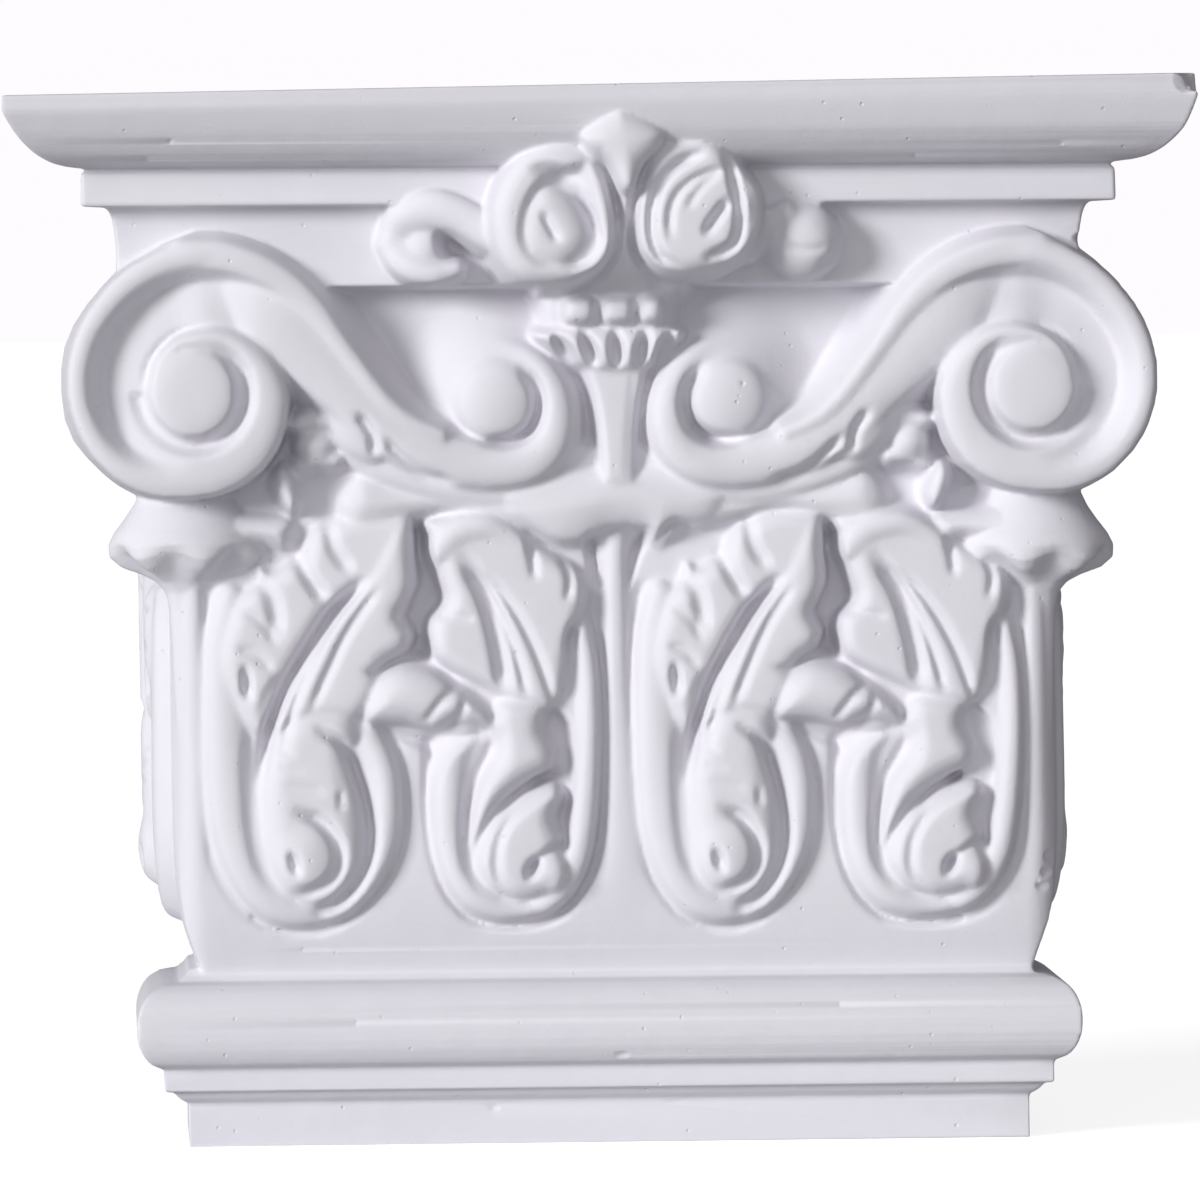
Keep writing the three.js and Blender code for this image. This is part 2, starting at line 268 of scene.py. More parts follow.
    def dent(self, middle, radii, depth, turn=0.0, power=1.5):
        """A hollow, long in the second radius, leaning by `turn` degrees clockwise."""
        reach = max(radii) + 1
        box = self.window(middle[0] - reach, middle[0] + reach, middle[1] - reach, middle[1] + reach)
        x, z = self.x[box] - middle[0], self.z[box] - middle[1]
        c, s = math.cos(math.radians(turn)), math.sin(math.radians(turn))
        ratio = np.clip(np.hypot((x * c - z * s) / radii[0], (z * c + x * s) / radii[1]), 0, 1)
        self.out[box] -= depth * (1 - ratio ** 2) ** power

    def soften(self, passes):
        """Rounds every edge a little, as plaster takes it from a worn mould."""
        for _ in range(passes):
            padded = np.pad(self.out, 1, mode="edge")
            across = (padded[1:-1, :-2] + 2 * padded[1:-1, 1:-1] + padded[1:-1, 2:]) / 4
            padded = np.pad(across, 1, mode="edge")
            self.out = (padded[:-2, 1:-1] + 2 * padded[1:-1, 1:-1] + padded[2:, 1:-1]) / 4

    def at(self, x, z):
        """Heights between the cells."""
        i = np.clip((x - self.x0) / self.cell, 0, len(self.xs) - 1.001)
        j = np.clip((z - self.z0) / self.cell, 0, len(self.zs) - 1.001)
        i0, j0 = i.astype(int), j.astype(int)
        fi, fj = i - i0, j - j0
        low = self.out[j0, i0] * (1 - fi) + self.out[j0, i0 + 1] * fi
        high = self.out[j0 + 1, i0] * (1 - fi) + self.out[j0 + 1, i0 + 1] * fi
        return low * (1 - fj) + high * fj


def moved(points, dx, dz=0.0):
    """The same places slid across the face."""
    return [(p[0] + dx, p[1] + dz) + tuple(p[2:]) for p in points]


def flipped(points):
    """The same places on the other side of the middle."""
    return [(-p[0],) + tuple(p[1:]) for p in points]


def fitted(points, own, span):
    """The same places stretched across from their own span to another, and lifted towards the foot."""
    scale = (span[1] - span[0]) / (own[1] - own[0])
    low, high = LOOP_LEVELS
    return [(span[0] + (p[0] - own[0]) * scale, p[1] + LOOP_LIFT * max(0.0, (high - p[1]) / (high - low)))
            + tuple(p[2:]) for p in points]


def ease(low, high, value):
    """From nothing at `low` to one at `high`, smoothly."""
    share = np.clip((value - low) / (high - low), 0, 1)
    return share * share * (3 - 2 * share)


# ---------------------------------------------------------------- the big volutes

VOLUTE_AT = (99.8, 178.4)
VOLUTE_REACH = [10, 11.8, 14.4, 18.4, 22.8, 24.6, 25.0, 28.2, 30.5, 32.2, 35.7, 38.4, 42.2]
VOLUTE_FACE = 24.0
EYE = 10.3
RIM = 7.0
RIM_DROP = 2.8
CHANNEL = 7.5
SLOPE_RUN = 12
LAST_EIGHTH = 11.0
VOLUTE_WINDOW = 46


def channelled(edge, far, lip, depth):
    """A turn with a round lip along its edge and a channel inside it."""
    rim = VOLUTE_FACE - RIM_DROP * np.clip(np.abs((edge - far) - lip / 2) / (lip / 2), 0, 1) ** 2.6
    floor = VOLUTE_FACE - CHANNEL * depth + 2.0 * np.clip((edge - lip - far) / SLOPE_RUN, 0, 1)
    return np.where(edge - far < lip, rim, floor + (rim - floor) * ease(2.4, 0.0, edge - lip - far))


def volute(relief, side):
    """A coil that winds out from its eye over the top, with a channel that opens in its last turn."""
    cx, cz = side * VOLUTE_AT[0], VOLUTE_AT[1]
    box = relief.window(cx - VOLUTE_WINDOW, cx + VOLUTE_WINDOW, cz - VOLUTE_WINDOW, cz + VOLUTE_WINDOW)
    across, up = side * (relief.x[box] - cx), relief.z[box] - cz
    far = np.hypot(across, up)
    eighth = np.mod(np.arctan2(up, across), 2 * np.pi) / (np.pi / 4)
    steps = np.arange(len(VOLUTE_REACH))
    inner_edge = np.interp(eighth, steps, VOLUTE_REACH)
    outer_edge = np.interp(np.minimum(eighth + 8, steps[-1]), steps, VOLUTE_REACH)

    # The inner turn is a round band that opens into a channel, with a crescent cut round the eye.
    width = np.maximum(inner_edge - 10, 2.0)
    share = np.clip((inner_edge - far) / width, 0, 1)
    opening = ease(5.9, 7.9, eighth)
    hump = VOLUTE_FACE - 2.6 * np.abs(2 * share - 1) ** 3 - 0.5
    band = hump * (1 - opening) + channelled(inner_edge, far, RIM, 1.0) * opening
    crescent = 5.0 * np.clip(1 - np.abs(far - 11.8 - 0.8 * ease(1.0, 4.0, eighth)) / 2.6, 0, 1) ** 1.1
    crescent *= ease(2.3, 3.6, eighth) * (1 - 0.6 * ease(5.4, 7.2, eighth))
    height = np.where(far <= inner_edge, band - crescent, -FAR)

    # The last part of a turn sinks under the scroll's own band.
    depth = 1 - 0.6 * ease(1.6, 3.0, eighth)
    cut = channelled(outer_edge, far, RIM + 0.9 * ease(0, 2.5, eighth), depth)
    groove = 2.2 * np.clip(1 - (far - inner_edge) / 2.2, 0, 1) * ease(0, 0.6, eighth)
    cut = cut - groove * (1 - ease(1.6, 2.8, eighth))
    outside = (far > inner_edge) & (far <= outer_edge) & (eighth + 8 <= LAST_EIGHTH)
    height = np.where(outside, cut - 4.0 * ease(2.0, 3.0, eighth), height)

    eye = np.where(far < EYE, VOLUTE_FACE + 0.6 - 1.1 * (far / 10) ** 4, -FAR)
    relief.out[box] = np.maximum(relief.out[box], np.maximum(height, eye))


# ---------------------------------------------------------------- scrolls over the panel

SCROLL_BAND = [(-106, 202.4, 10, 3), (-100.5, 204.6, 14.6, 4.4), (-95, 205.4, 17.4, 5.8),
    (-89.5, 204.8, 19.6, 7.2), (-84, 202.6, 21.2, 8.6), (-78.5, 198.8, 21.8, 9.4), (-73, 193, 21.4, 9.2),
    (-67.5, 186.5, 20.8, 8.2), (-62, 180, 20.2, 7.2), (-56.5, 174, 19.6, 6.8), (-50.5, 169, 19, 6.4),
    (-43.5, 165, 18.6, 5.8), (-37, 162.6, 18.2, 5.6), (-28, 161.2, 18, 5.2), (-20, 162.2, 18.2, 4.8),
    (-15.3, 166, 18.2, 4.6), (-13.6, 171.5, 18, 4.4), (-14, 177.5, 17.6, 4.2), (-16.4, 183, 16.8, 3.9),
    (-20.6, 187.3, 15.4, 3.6), (-26, 189.4, 13, 3.4), (-31.5, 188.6, 10, 3.4)]
SCROLL_LIP = [(-101.6, 213.8, 23.4, 3.4), (-92, 213.2, 23.8, 3.4), (-84.5, 211, 23.8, 3.2),
    (-78, 207.6, 23.4, 3.0), (-72.6, 203, 22.8, 2.8), (-68.6, 198.4, 22.4, 2.4), (-64.6, 192.4, 21.8, 2.1),
    (-60.6, 186.4, 21.3, 2.0), (-56.6, 180.6, 20.8, 1.9), (-52.4, 175.4, 20.2, 1.8), (-47.6, 171.6, 19.6, 1.7),
    (-41, 168.6, 18.9, 1.6)]
SCROLL_LEAF = [(-61, 163.5, 12.5, 3.5), (-55.5, 160.5, 13.5, 3.4), (-49, 157.8, 13.6, 3.2),
    (-40, 155.2, 13.4, 3.0), (-30, 154, 13.2, 3.0), (-20, 155, 13.2, 3.2), (-11.5, 158.5, 12.6, 3.2),
    (-6, 163, 11, 2.6)]
SHOULDER = [(-69.5, 178), (-62, 182), (-53, 171), (-51, 164), (-57, 160.5), (-64, 163.5), (-68, 169)]


SETTLE = (0.6, 2.5)
SETTLE_LEVELS = (168, 203)


def settled(points):
    """The same places, lower where the scroll climbs to its volute."""
    low, high = SETTLE_LEVELS
    return [(p[0], p[1] - SETTLE[0] - SETTLE[1] * float(ease(low, high, p[1]))) + tuple(p[2:]) for p in points]


def scroll(relief, turn):
    """The S that runs from a big volute down to the small one beside the middle, with its leaf."""
    relief.ridge(turn(SCROLL_LEAF), fall=3.0, soften=1.4, over_bell=False)
    relief.pad(turn(SHOULDER), 9.5, 8.0, round_off=6, over_bell=False)
    relief.mound(turn([(-27, 178)])[0], 27, 4.5, 12.5)
    relief.ridge(turn(settled(SCROLL_BAND)), fall=3.2, soften=2.0, over_bell=False)
    relief.ridge(turn(settled(SCROLL_LIP)), fall=1.2, soften=1.2, over_bell=False)
    relief.dome(turn([(-27.6, 176.2)])[0], (9.4, 9.2), 14.5, 3.8, soften=1.5)
    relief.groove(turn([(-21, 183), (-18.2, 179), (-17.4, 174.5), (-19, 169.8), (-23.5, 166.8), (-30, 166.2)]),
        2.4, 4.0)
    relief.pad(turn([(-77.5, 170.4), (-74, 173.6), (-67, 173.4), (-66, 170), (-70, 168.4), (-75, 168.4)]), 9, 5,
        round_off=2.4, over_bell=False)
    relief.dome(turn([(-70.6, 165.6)])[0], (5.0, 4.8), 9, 6, soften=0.8, steep=4)
    relief.pad(turn([(-81, 158), (-78.6, 161.4), (-75.6, 158), (-74.4, 152.5), (-76.4, 149.4), (-79.6, 152.4)]),
        8, 7, round_off=3, over_bell=False)
    relief.ridge(turn([(-74.5, 160.5, 12, 1.6), (-71.5, 162.2, 13, 1.6), (-66, 162.4, 13.5, 1.8)]), fall=2,
        over_bell=False)
    relief.grooves(turn, [
        [1.6, 3.0, (-60.5, 173), (-57.5, 168.5), (-56.8, 163.8)],
        [1.5, 3.0, (-54.5, 167.2), (-50, 162.8), (-45.5, 159.4), (-38, 157)]])


# ---------------------------------------------------------------- loops and leaves on the bell

LEFT_SPAN = (-98.7, -51.3)
RIGHT_SPAN = (-42.3, -3.3)
FAR_LEFT_SPAN = (5, 47)
FAR_RIGHT_SPAN = (55.5, 98.5)
FAR_PAIR = 98

LEFT_EDGE = [(-96.5, 132), (-98, 126), (-98.6, 116), (-98.9, 100), (-98.9, 88), (-97.8, 76), (-96, 68),
    (-92.5, 60), (-87.5, 54), (-82, 51), (-77, 50.2), (-70, 51), (-62.5, 55.3), (-57.5, 60.5), (-54, 68),
    (-51.8, 80), (-52.6, 90), (-55, 98)]
LEFT_BODY = [(-95.5, 131), (-97.3, 124), (-97.8, 112), (-98, 98), (-97.6, 84), (-96.2, 74), (-93.6, 65),
    (-89, 57.5), (-83, 52.6), (-77, 51.4), (-70, 52.3), (-63, 56.5), (-58.5, 61.5), (-55, 69), (-52.8, 80),
    (-53.6, 90), (-56, 99), (-62, 112), (-74, 124), (-86, 132)]
LEFT_ARM = [(-91.5, 130, 3.2, 3.2), (-93, 121, 4.0, 4.2), (-93.2, 110, 4.4, 4.8), (-93, 97, 4.6, 5.2),
    (-92.2, 84, 4.8, 5.6), (-90.6, 73, 4.8, 5.6), (-87.4, 63.5, 4.6, 5.0), (-82, 56.5, 4.3, 4.4),
    (-76, 54.2, 4.0, 3.6), (-70, 54, 3.4, 2.6)]
LEFT_INNER_ARM = [(-69, 53, 3.0, 1.8), (-64.5, 56.3, 3.6, 2.4), (-59.8, 62.5, 4.2, 3.0), (-56.4, 70, 4.4, 3.3),
    (-55.2, 80, 4.4, 3.4), (-56.2, 90, 4.2, 3.4), (-59.5, 97, 3.8, 3.4)]
LEFT_LOW_LEAF = [(-77.5, 104), (-70, 105.5), (-63.5, 103.5), (-61, 98.5), (-62.8, 92.5), (-61.4, 84),
    (-60.4, 74), (-61.8, 65), (-66.5, 58.5), (-73, 55.5), (-80, 58.5), (-84, 66), (-85.6, 76), (-85.2, 88),
    (-82.5, 97)]
LEFT_HIGH_LEAF = [(-55.6, 143), (-52.6, 148), (-48.8, 148.4), (-48, 141), (-47.6, 133), (-49.3, 128.6),
    (-51, 125.5), (-48.7, 121.5), (-49.8, 117.5), (-55, 114), (-57, 107), (-62, 101), (-72, 101), (-81.5, 97),
    (-83.5, 96), (-82, 103), (-78, 111.5), (-73.5, 119), (-68, 126.2), (-61, 134)]
LEFT_FAN = [(-95, 114), (-94.2, 121), (-92, 126.5), (-89.4, 130.4), (-86.4, 133.4), (-84.6, 137.6), (-82, 136),
    (-78.4, 137.8), (-75, 139.4), (-73.6, 143), (-70.6, 146.8), (-65.6, 148.8), (-57.5, 150.2), (-48.4, 149.8),
    (-47.2, 141), (-54, 133), (-66, 128), (-72.5, 119.5), (-77.8, 111), (-81.6, 102), (-85, 97), (-89.5, 101)]

RIGHT_EDGE = [(-44.6, 96), (-44.7, 84), (-44, 73), (-42.6, 65), (-40, 58.3), (-35.5, 53), (-30, 51.2),
    (-22, 51), (-14.5, 53.6), (-9.8, 58.8), (-6.8, 65), (-5, 74), (-3.6, 88), (-2.9, 103), (-3.6, 116),
    (-5.4, 128)]
RIGHT_BODY = [(-43.2, 97), (-43.4, 84), (-42.6, 73.5), (-41, 66), (-38.4, 59.8), (-34.3, 54.8), (-29.5, 52.6),
    (-22, 52.3), (-15.2, 54.8), (-11, 59.6), (-8.1, 65.6), (-6.3, 74.4), (-4.9, 88), (-4.2, 103), (-4.8, 116),
    (-7, 127), (-20, 130), (-34, 122)]
RIGHT_OUTER_ARM = [(-36, 97.5, 3.6, 3.4), (-39.4, 91, 4.2, 3.6), (-40.3, 82, 4.6, 3.8), (-40, 73, 4.6, 3.9),
    (-38, 64.5, 4.6, 4.0), (-34, 58, 4.4, 3.8), (-29, 54.8, 4.0, 3.0), (-22, 54, 3.5, 2.2)]
RIGHT_INNER_ARM = [(-23, 53.6, 3.0, 1.8), (-17.5, 55.6, 3.8, 2.6), (-12.8, 60.6, 4.2, 3.0),
    (-9.8, 67.5, 4.4, 3.2), (-8.1, 77, 4.5, 3.2), (-6.9, 90, 4.5, 3.0), (-6.4, 103, 4.4, 2.8),
    (-6.8, 114, 4.2, 2.6), (-8, 122, 3.8, 2.4)]
RIGHT_LOBES = [
    [(-30.5, 101), (-28, 106), (-22, 106.6), (-16.8, 104), (-17, 98.6), (-14.8, 93.4), (-15.4, 89.4),
     (-21.5, 85.6), (-28, 80), (-33, 72), (-35.4, 68), (-35.8, 75), (-33.8, 85), (-29.4, 93)],
    [(-18.5, 84.6), (-14.8, 85), (-12.9, 82), (-14.8, 77.2), (-13.1, 71.8), (-13.8, 67.4), (-12.8, 62),
     (-16.5, 57.8), (-25, 56.8), (-31.8, 60.2), (-34.6, 66.6), (-32.4, 74), (-27, 80.4)]]
RIGHT_HIGH_LEAF = [(-45.5, 147), (-43.4, 143), (-41.8, 134.5), (-40.4, 129), (-44, 124.5), (-44.4, 120),
    (-43.4, 116), (-38, 111.5), (-31, 108), (-26, 105), (-15.5, 103), (-12, 108), (-10.5, 115), (-8.2, 123),
    (-6.6, 129), (-7.5, 134.5), (-10.5, 138), (-14.5, 140), (-20, 143), (-25, 147.5), (-33, 150)]
BUD = [(-60.5, 104), (-58, 110.5), (-52.5, 114), (-45, 113.6), (-39, 110.6), (-33.5, 107), (-29.8, 103),
    (-29.2, 99), (-34, 99.4), (-39, 99.6), (-44, 98.4), (-50, 99.6), (-56, 100), (-60, 100.4)]


def left_loop(relief, span):
    """A loop whose left arm sweeps under to a curled leaf, with a fan of lobes over it."""
    fit = lambda points: fitted(points, LEFT_SPAN, span)
    relief.groove(fit(LEFT_EDGE), 2.3, 4.4, power=1.5)
    relief.pad(fit(LEFT_BODY), -1.6, 4.0, round_off=4.5)
    relief.ridge(fit(LEFT_ARM), fall=3.0, steep=2.0)
    relief.pad(fit(LEFT_LOW_LEAF), 0.5, 6.6, round_off=7)
    relief.ridge(fit(LEFT_INNER_ARM), fall=3.2, steep=3.0)
    relief.grooves(fit, [
        [2.4, 1.4, (-87.6, 98), (-88.2, 88), (-87.8, 76), (-86, 66.5), (-82.5, 60)],
        [1.9, 4.0, (-71, 99), (-65.5, 95), (-62.3, 88), (-60, 80), (-59, 72), (-60.8, 64.4), (-65.6, 57.8),
        (-72, 54.2)]])
    relief.dome(fit([(-75, 68)])[0], (7.4, 9), 4.2, 4.2, over_bell=True)
    relief.groove(fit([(-76, 79), (-71, 76.4), (-67.3, 71), (-67.3, 65), (-71, 60.6), (-77, 58.8)]), 2.3, 3.2)
    relief.dent(fit([(-77.6, 66.4)])[0], (1.5, 3.8), 4.0, turn=-18)
    relief.grooves(fit, [
        [1.0, 1.6, (-66.4, 84), (-66.2, 79.5)],
        [1.0, 0.8, (-82, 94.5), (-77, 93)],
        [1.0, 0.8, (-81, 90), (-75.5, 88.6)],
        [1.0, 0.8, (-80, 85.6), (-70.5, 84)]])
    relief.pad(fit(LEFT_FAN), 0.6, 5.4, round_off=5.0)
    relief.grooves(fit, [
        [2.8, 1.9, (-85, 135), (-81.6, 129.6), (-80.6, 122)],
        [2.6, 2.6, (-75.4, 140), (-72.4, 134), (-69, 129.6)],
        [2.4, 1.8, (-68, 149), (-67, 142), (-63, 136.4)],
        [1.4, 1.2, (-81, 119.5), (-84.6, 124.5), (-88.6, 127.4)],
        [1.6, 1.2, (-90, 118), (-86, 117), (-82, 113)]])
    relief.sink(fit([(-86, 101), (-83, 104), (-78.5, 112), (-80.5, 113.5), (-85, 108)]), 1.8, slope=3)
    relief.pad(fit(LEFT_HIGH_LEAF), 0.6, 6.4, round_off=4.5)
    relief.dent(fit([(-88.2, 110)])[0], (1.5, 5.0), 4.5, turn=-5)
    relief.groove(fit([(-60.4, 133.6), (-67.5, 126), (-73, 118), (-77.5, 111), (-81, 104), (-83.7, 96),
        (-85.2, 87)]), 2.0, 4.4, power=1.5)
    relief.grooves(fit, [
        [1.2, 2.6, (-61, 131.8), (-68, 123), (-73.6, 112.5), (-77.6, 103), (-80, 94)],
        [1.3, 2.2, (-56.5, 132), (-63.5, 122.6), (-68.8, 112.4), (-72.8, 104)]])


def right_loop(relief, span):
    """A loop whose right arm runs straight up, with a two-lobed leaf under a fluted one."""
    fit = lambda points: fitted(points, RIGHT_SPAN, span)
    relief.groove(fit(RIGHT_EDGE), 2.2, 4.4, power=1.5)
    relief.pad(fit(RIGHT_BODY), -1.6, 3.6, round_off=4.0)
    relief.sink(fit([(-16, 104), (-11, 101), (-9.6, 92), (-9.8, 82), (-11, 72), (-13.5, 66), (-19, 70),
        (-22, 80), (-20, 92)]), 4.2, slope=2.0)
    relief.ridge(fit(RIGHT_OUTER_ARM), fall=3.2, steep=2.4)
    for lobe in RIGHT_LOBES:
        relief.pad(fit(lobe), 0.2, 7.0, round_off=5.5, steep=4)
    relief.ridge(fit(RIGHT_INNER_ARM), fall=3.2, steep=4.0)
    relief.grooves(fit, [
        [2.2, 1.8, (-27.5, 97.5), (-31.6, 91), (-35, 83), (-36.6, 74), (-36.2, 66), (-33, 59.6)],
        [1.6, 1.8, (-16, 84.6), (-22, 80.6), (-27, 75), (-29.3, 69), (-29, 62.6), (-26, 59)],
        [1.7, 2.6, (-13.4, 88), (-18, 86.2), (-23, 83.4), (-28, 78)],
        [1.3, 2.4, (-12, 70.6), (-16, 69.2), (-19, 67)]])
    relief.dent(fit([(-20.6, 64.8)])[0], (1.9, 3.6), 6.0, turn=30)
    relief.dome(fit([(-15.8, 63.4)])[0], (3.4, 4.6), 4.0, 3.4, over_bell=True)
    relief.pad(fit(RIGHT_HIGH_LEAF), 0.6, 6.2, round_off=4.5)
    relief.groove(fit([(-35.5, 138), (-31.2, 130), (-28.4, 120), (-26.6, 108)]), 3.0, 3.4)
    relief.ridge(fit([(-41.5, 141, 7.4, 3), (-37.5, 145, 8, 3.2), (-31, 146.4, 8.2, 3), (-26, 144.6, 7.6, 2.6),
        (-21.5, 141.4, 7.2, 2.2)]), fall=2.6)
    relief.grooves(fit, [
        [1.3, 2.6, (-33, 135.4), (-28, 127), (-24.4, 118), (-21.4, 107)],
        [1.4, 2.4, (-30.5, 135), (-24, 126.6), (-19, 116.6), (-15, 104.6)],
        [1.2, 1.2, (-43.6, 126), (-39, 125.4), (-34, 124.6)],
        [1.3, 2.4, (-20.6, 144), (-19.6, 139), (-19, 134.5)],
        [1.4, 2.0, (-12.6, 139), (-10.8, 134), (-11.4, 129)]])
    relief.dent(fit([(-10.6, 120)])[0], (1.7, 5.2), 4.6, turn=10)


def pair(relief, left, right, shift):
    """Two loops that lean together over a short stalk, with the bud between them."""
    left_loop(relief, left)
    right_loop(relief, right)
    gap = [(-48.3, 148.5), (-48, 141), (-47.4, 133), (-49, 129), (-50.5, 125.2), (-48.4, 121), (-50, 117),
        (-56.5, 113), (-44, 114.6), (-44.4, 122), (-43.6, 124.5), (-40.6, 128.6), (-42.2, 136), (-43.8, 144),
        (-45.6, 147.5)]
    relief.sink(moved(gap, shift), 7.2, slope=1.3)
    relief.groove(moved([(-60, 112.6), (-54, 112.8), (-46.5, 116)], shift), 1.6, 2.0)
    relief.pad(moved(BUD, shift), 0.5, 9.2, round_off=7)
    relief.groove(moved([(-41.5, 111.8), (-37, 107.6), (-32, 104)], shift), 1.2, 1.4)
    relief.groove(moved([(-46, 100.5), (-42.5, 105), (-38.5, 108.5)], shift), 1.6, 1.8)
    relief.groove(moved([(-40, 99.5), (-37.4, 102.4), (-36.4, 106)], shift), 1.4, 1.6)
    relief.sink(moved([(-57, 99), (-44.6, 97.6), (-43.6, 98.4), (-30, 98), (-36, 94.6), (-41, 90), (-44, 84),
        (-45.5, 92), (-53, 96)], shift), 2.4, slope=2.0)


# ---------------------------------------------------------------- the middle

CUP_HOLLOWS = [(-11.4, -36), (-5.4, -24), (1.0, -6), (7.2, 12), (12.4, 30)]
BEADS = [(-11.8, -3.6), (-2.8, 5.4), (6.2, 12.6)]


def middle(relief):
    """The facetted stem between the small volutes, its cup and beads, and the bell under it."""
    relief.pad([(-26, 153), (-18, 157), (-6, 160), (6, 160), (18, 157), (26, 153), (23, 148.5), (16, 146),
        (10.5, 142.6), (7, 146), (0, 146), (-7, 143), (-14, 143), (-21, 147.5)], 10.5, 5.4, round_off=12,
        soften=3.5, over_bell=False)
    relief.groove([(-5.4, 143.5), (-4.6, 138), (-3.8, 133)], 1.8, 5.0, taper=False)
    relief.groove([(7.6, 144.5), (5, 140), (2.8, 134)], 2.0, 5.0, taper=False)
    relief.groove([(10, 142), (14, 146.6), (19.5, 145.5)], 1.6, 3.5)
    stem = [(-7.6, 186), (-6.6, 181), (-5.2, 176), (-4.2, 170), (-3.6, 163), (-3.6, 155), (5.8, 155), (6, 163),
        (6.4, 170), (7.2, 176), (8.4, 181), (9.4, 186)]
    relief.pad(stem, 9, 6.5, round_off=2.6, over_bell=False, sharp=True)
    relief.groove([(5.2, 183), (4.4, 175), (3.6, 166), (3.2, 157)], 1.0, 0.8)
    cup = [(-19, 191.5), (-14.5, 187), (-9.5, 184.2), (-5, 182.6), (1, 182), (7, 182.6), (11.5, 184.6),
        (15.8, 188.4), (18, 192), (13, 194), (0, 194.4), (-13, 194)]
    relief.pad(cup, 11, 9.5, round_off=6, over_bell=False)
    for across, lean in CUP_HOLLOWS:
        relief.dent((across, 188.0), (1.9, 4.6), 6.0, turn=lean, power=0.8)
    relief.pad([(-15.5, 193), (-15, 200.5), (0, 201), (14, 200.5), (14.5, 193)], 11, 4.5, round_off=3,
        over_bell=False)
    for west, east in BEADS:
        relief.pad([(west, 194.8), (west, 199.2), (west + 1.2, 200.4), (east - 1.2, 200.4), (east, 199.2),
                    (east, 194.8), (east - 1.2, 193.6), (west + 1.2, 193.6)], 15.5, 7.0, round_off=3.0,
                   soften=0.3, over_bell=False, steep=8)
    relief.pad([(-17, 205), (-15, 200.5), (-5, 200), (8, 200), (16, 200.5), (18, 205), (12, 212), (-12, 212)],
        14, 5, round_off=5, over_bell=False)
    relief.ridge([(1.5, 42, -3.5, 14), (1.5, 50, -1.8, 10), (1.4, 58, -0.2, 7), (1.2, 70, 1.0, 4.6),
        (0.8, 90, 1.6, 3.2), (0.4, 110, 1.6, 2.6), (0.4, 130, 1.8, 2.4), (0.6, 143, 2.5, 2.4)], fall=1.5)


# ---------------------------------------------------------------- flowers on the frieze

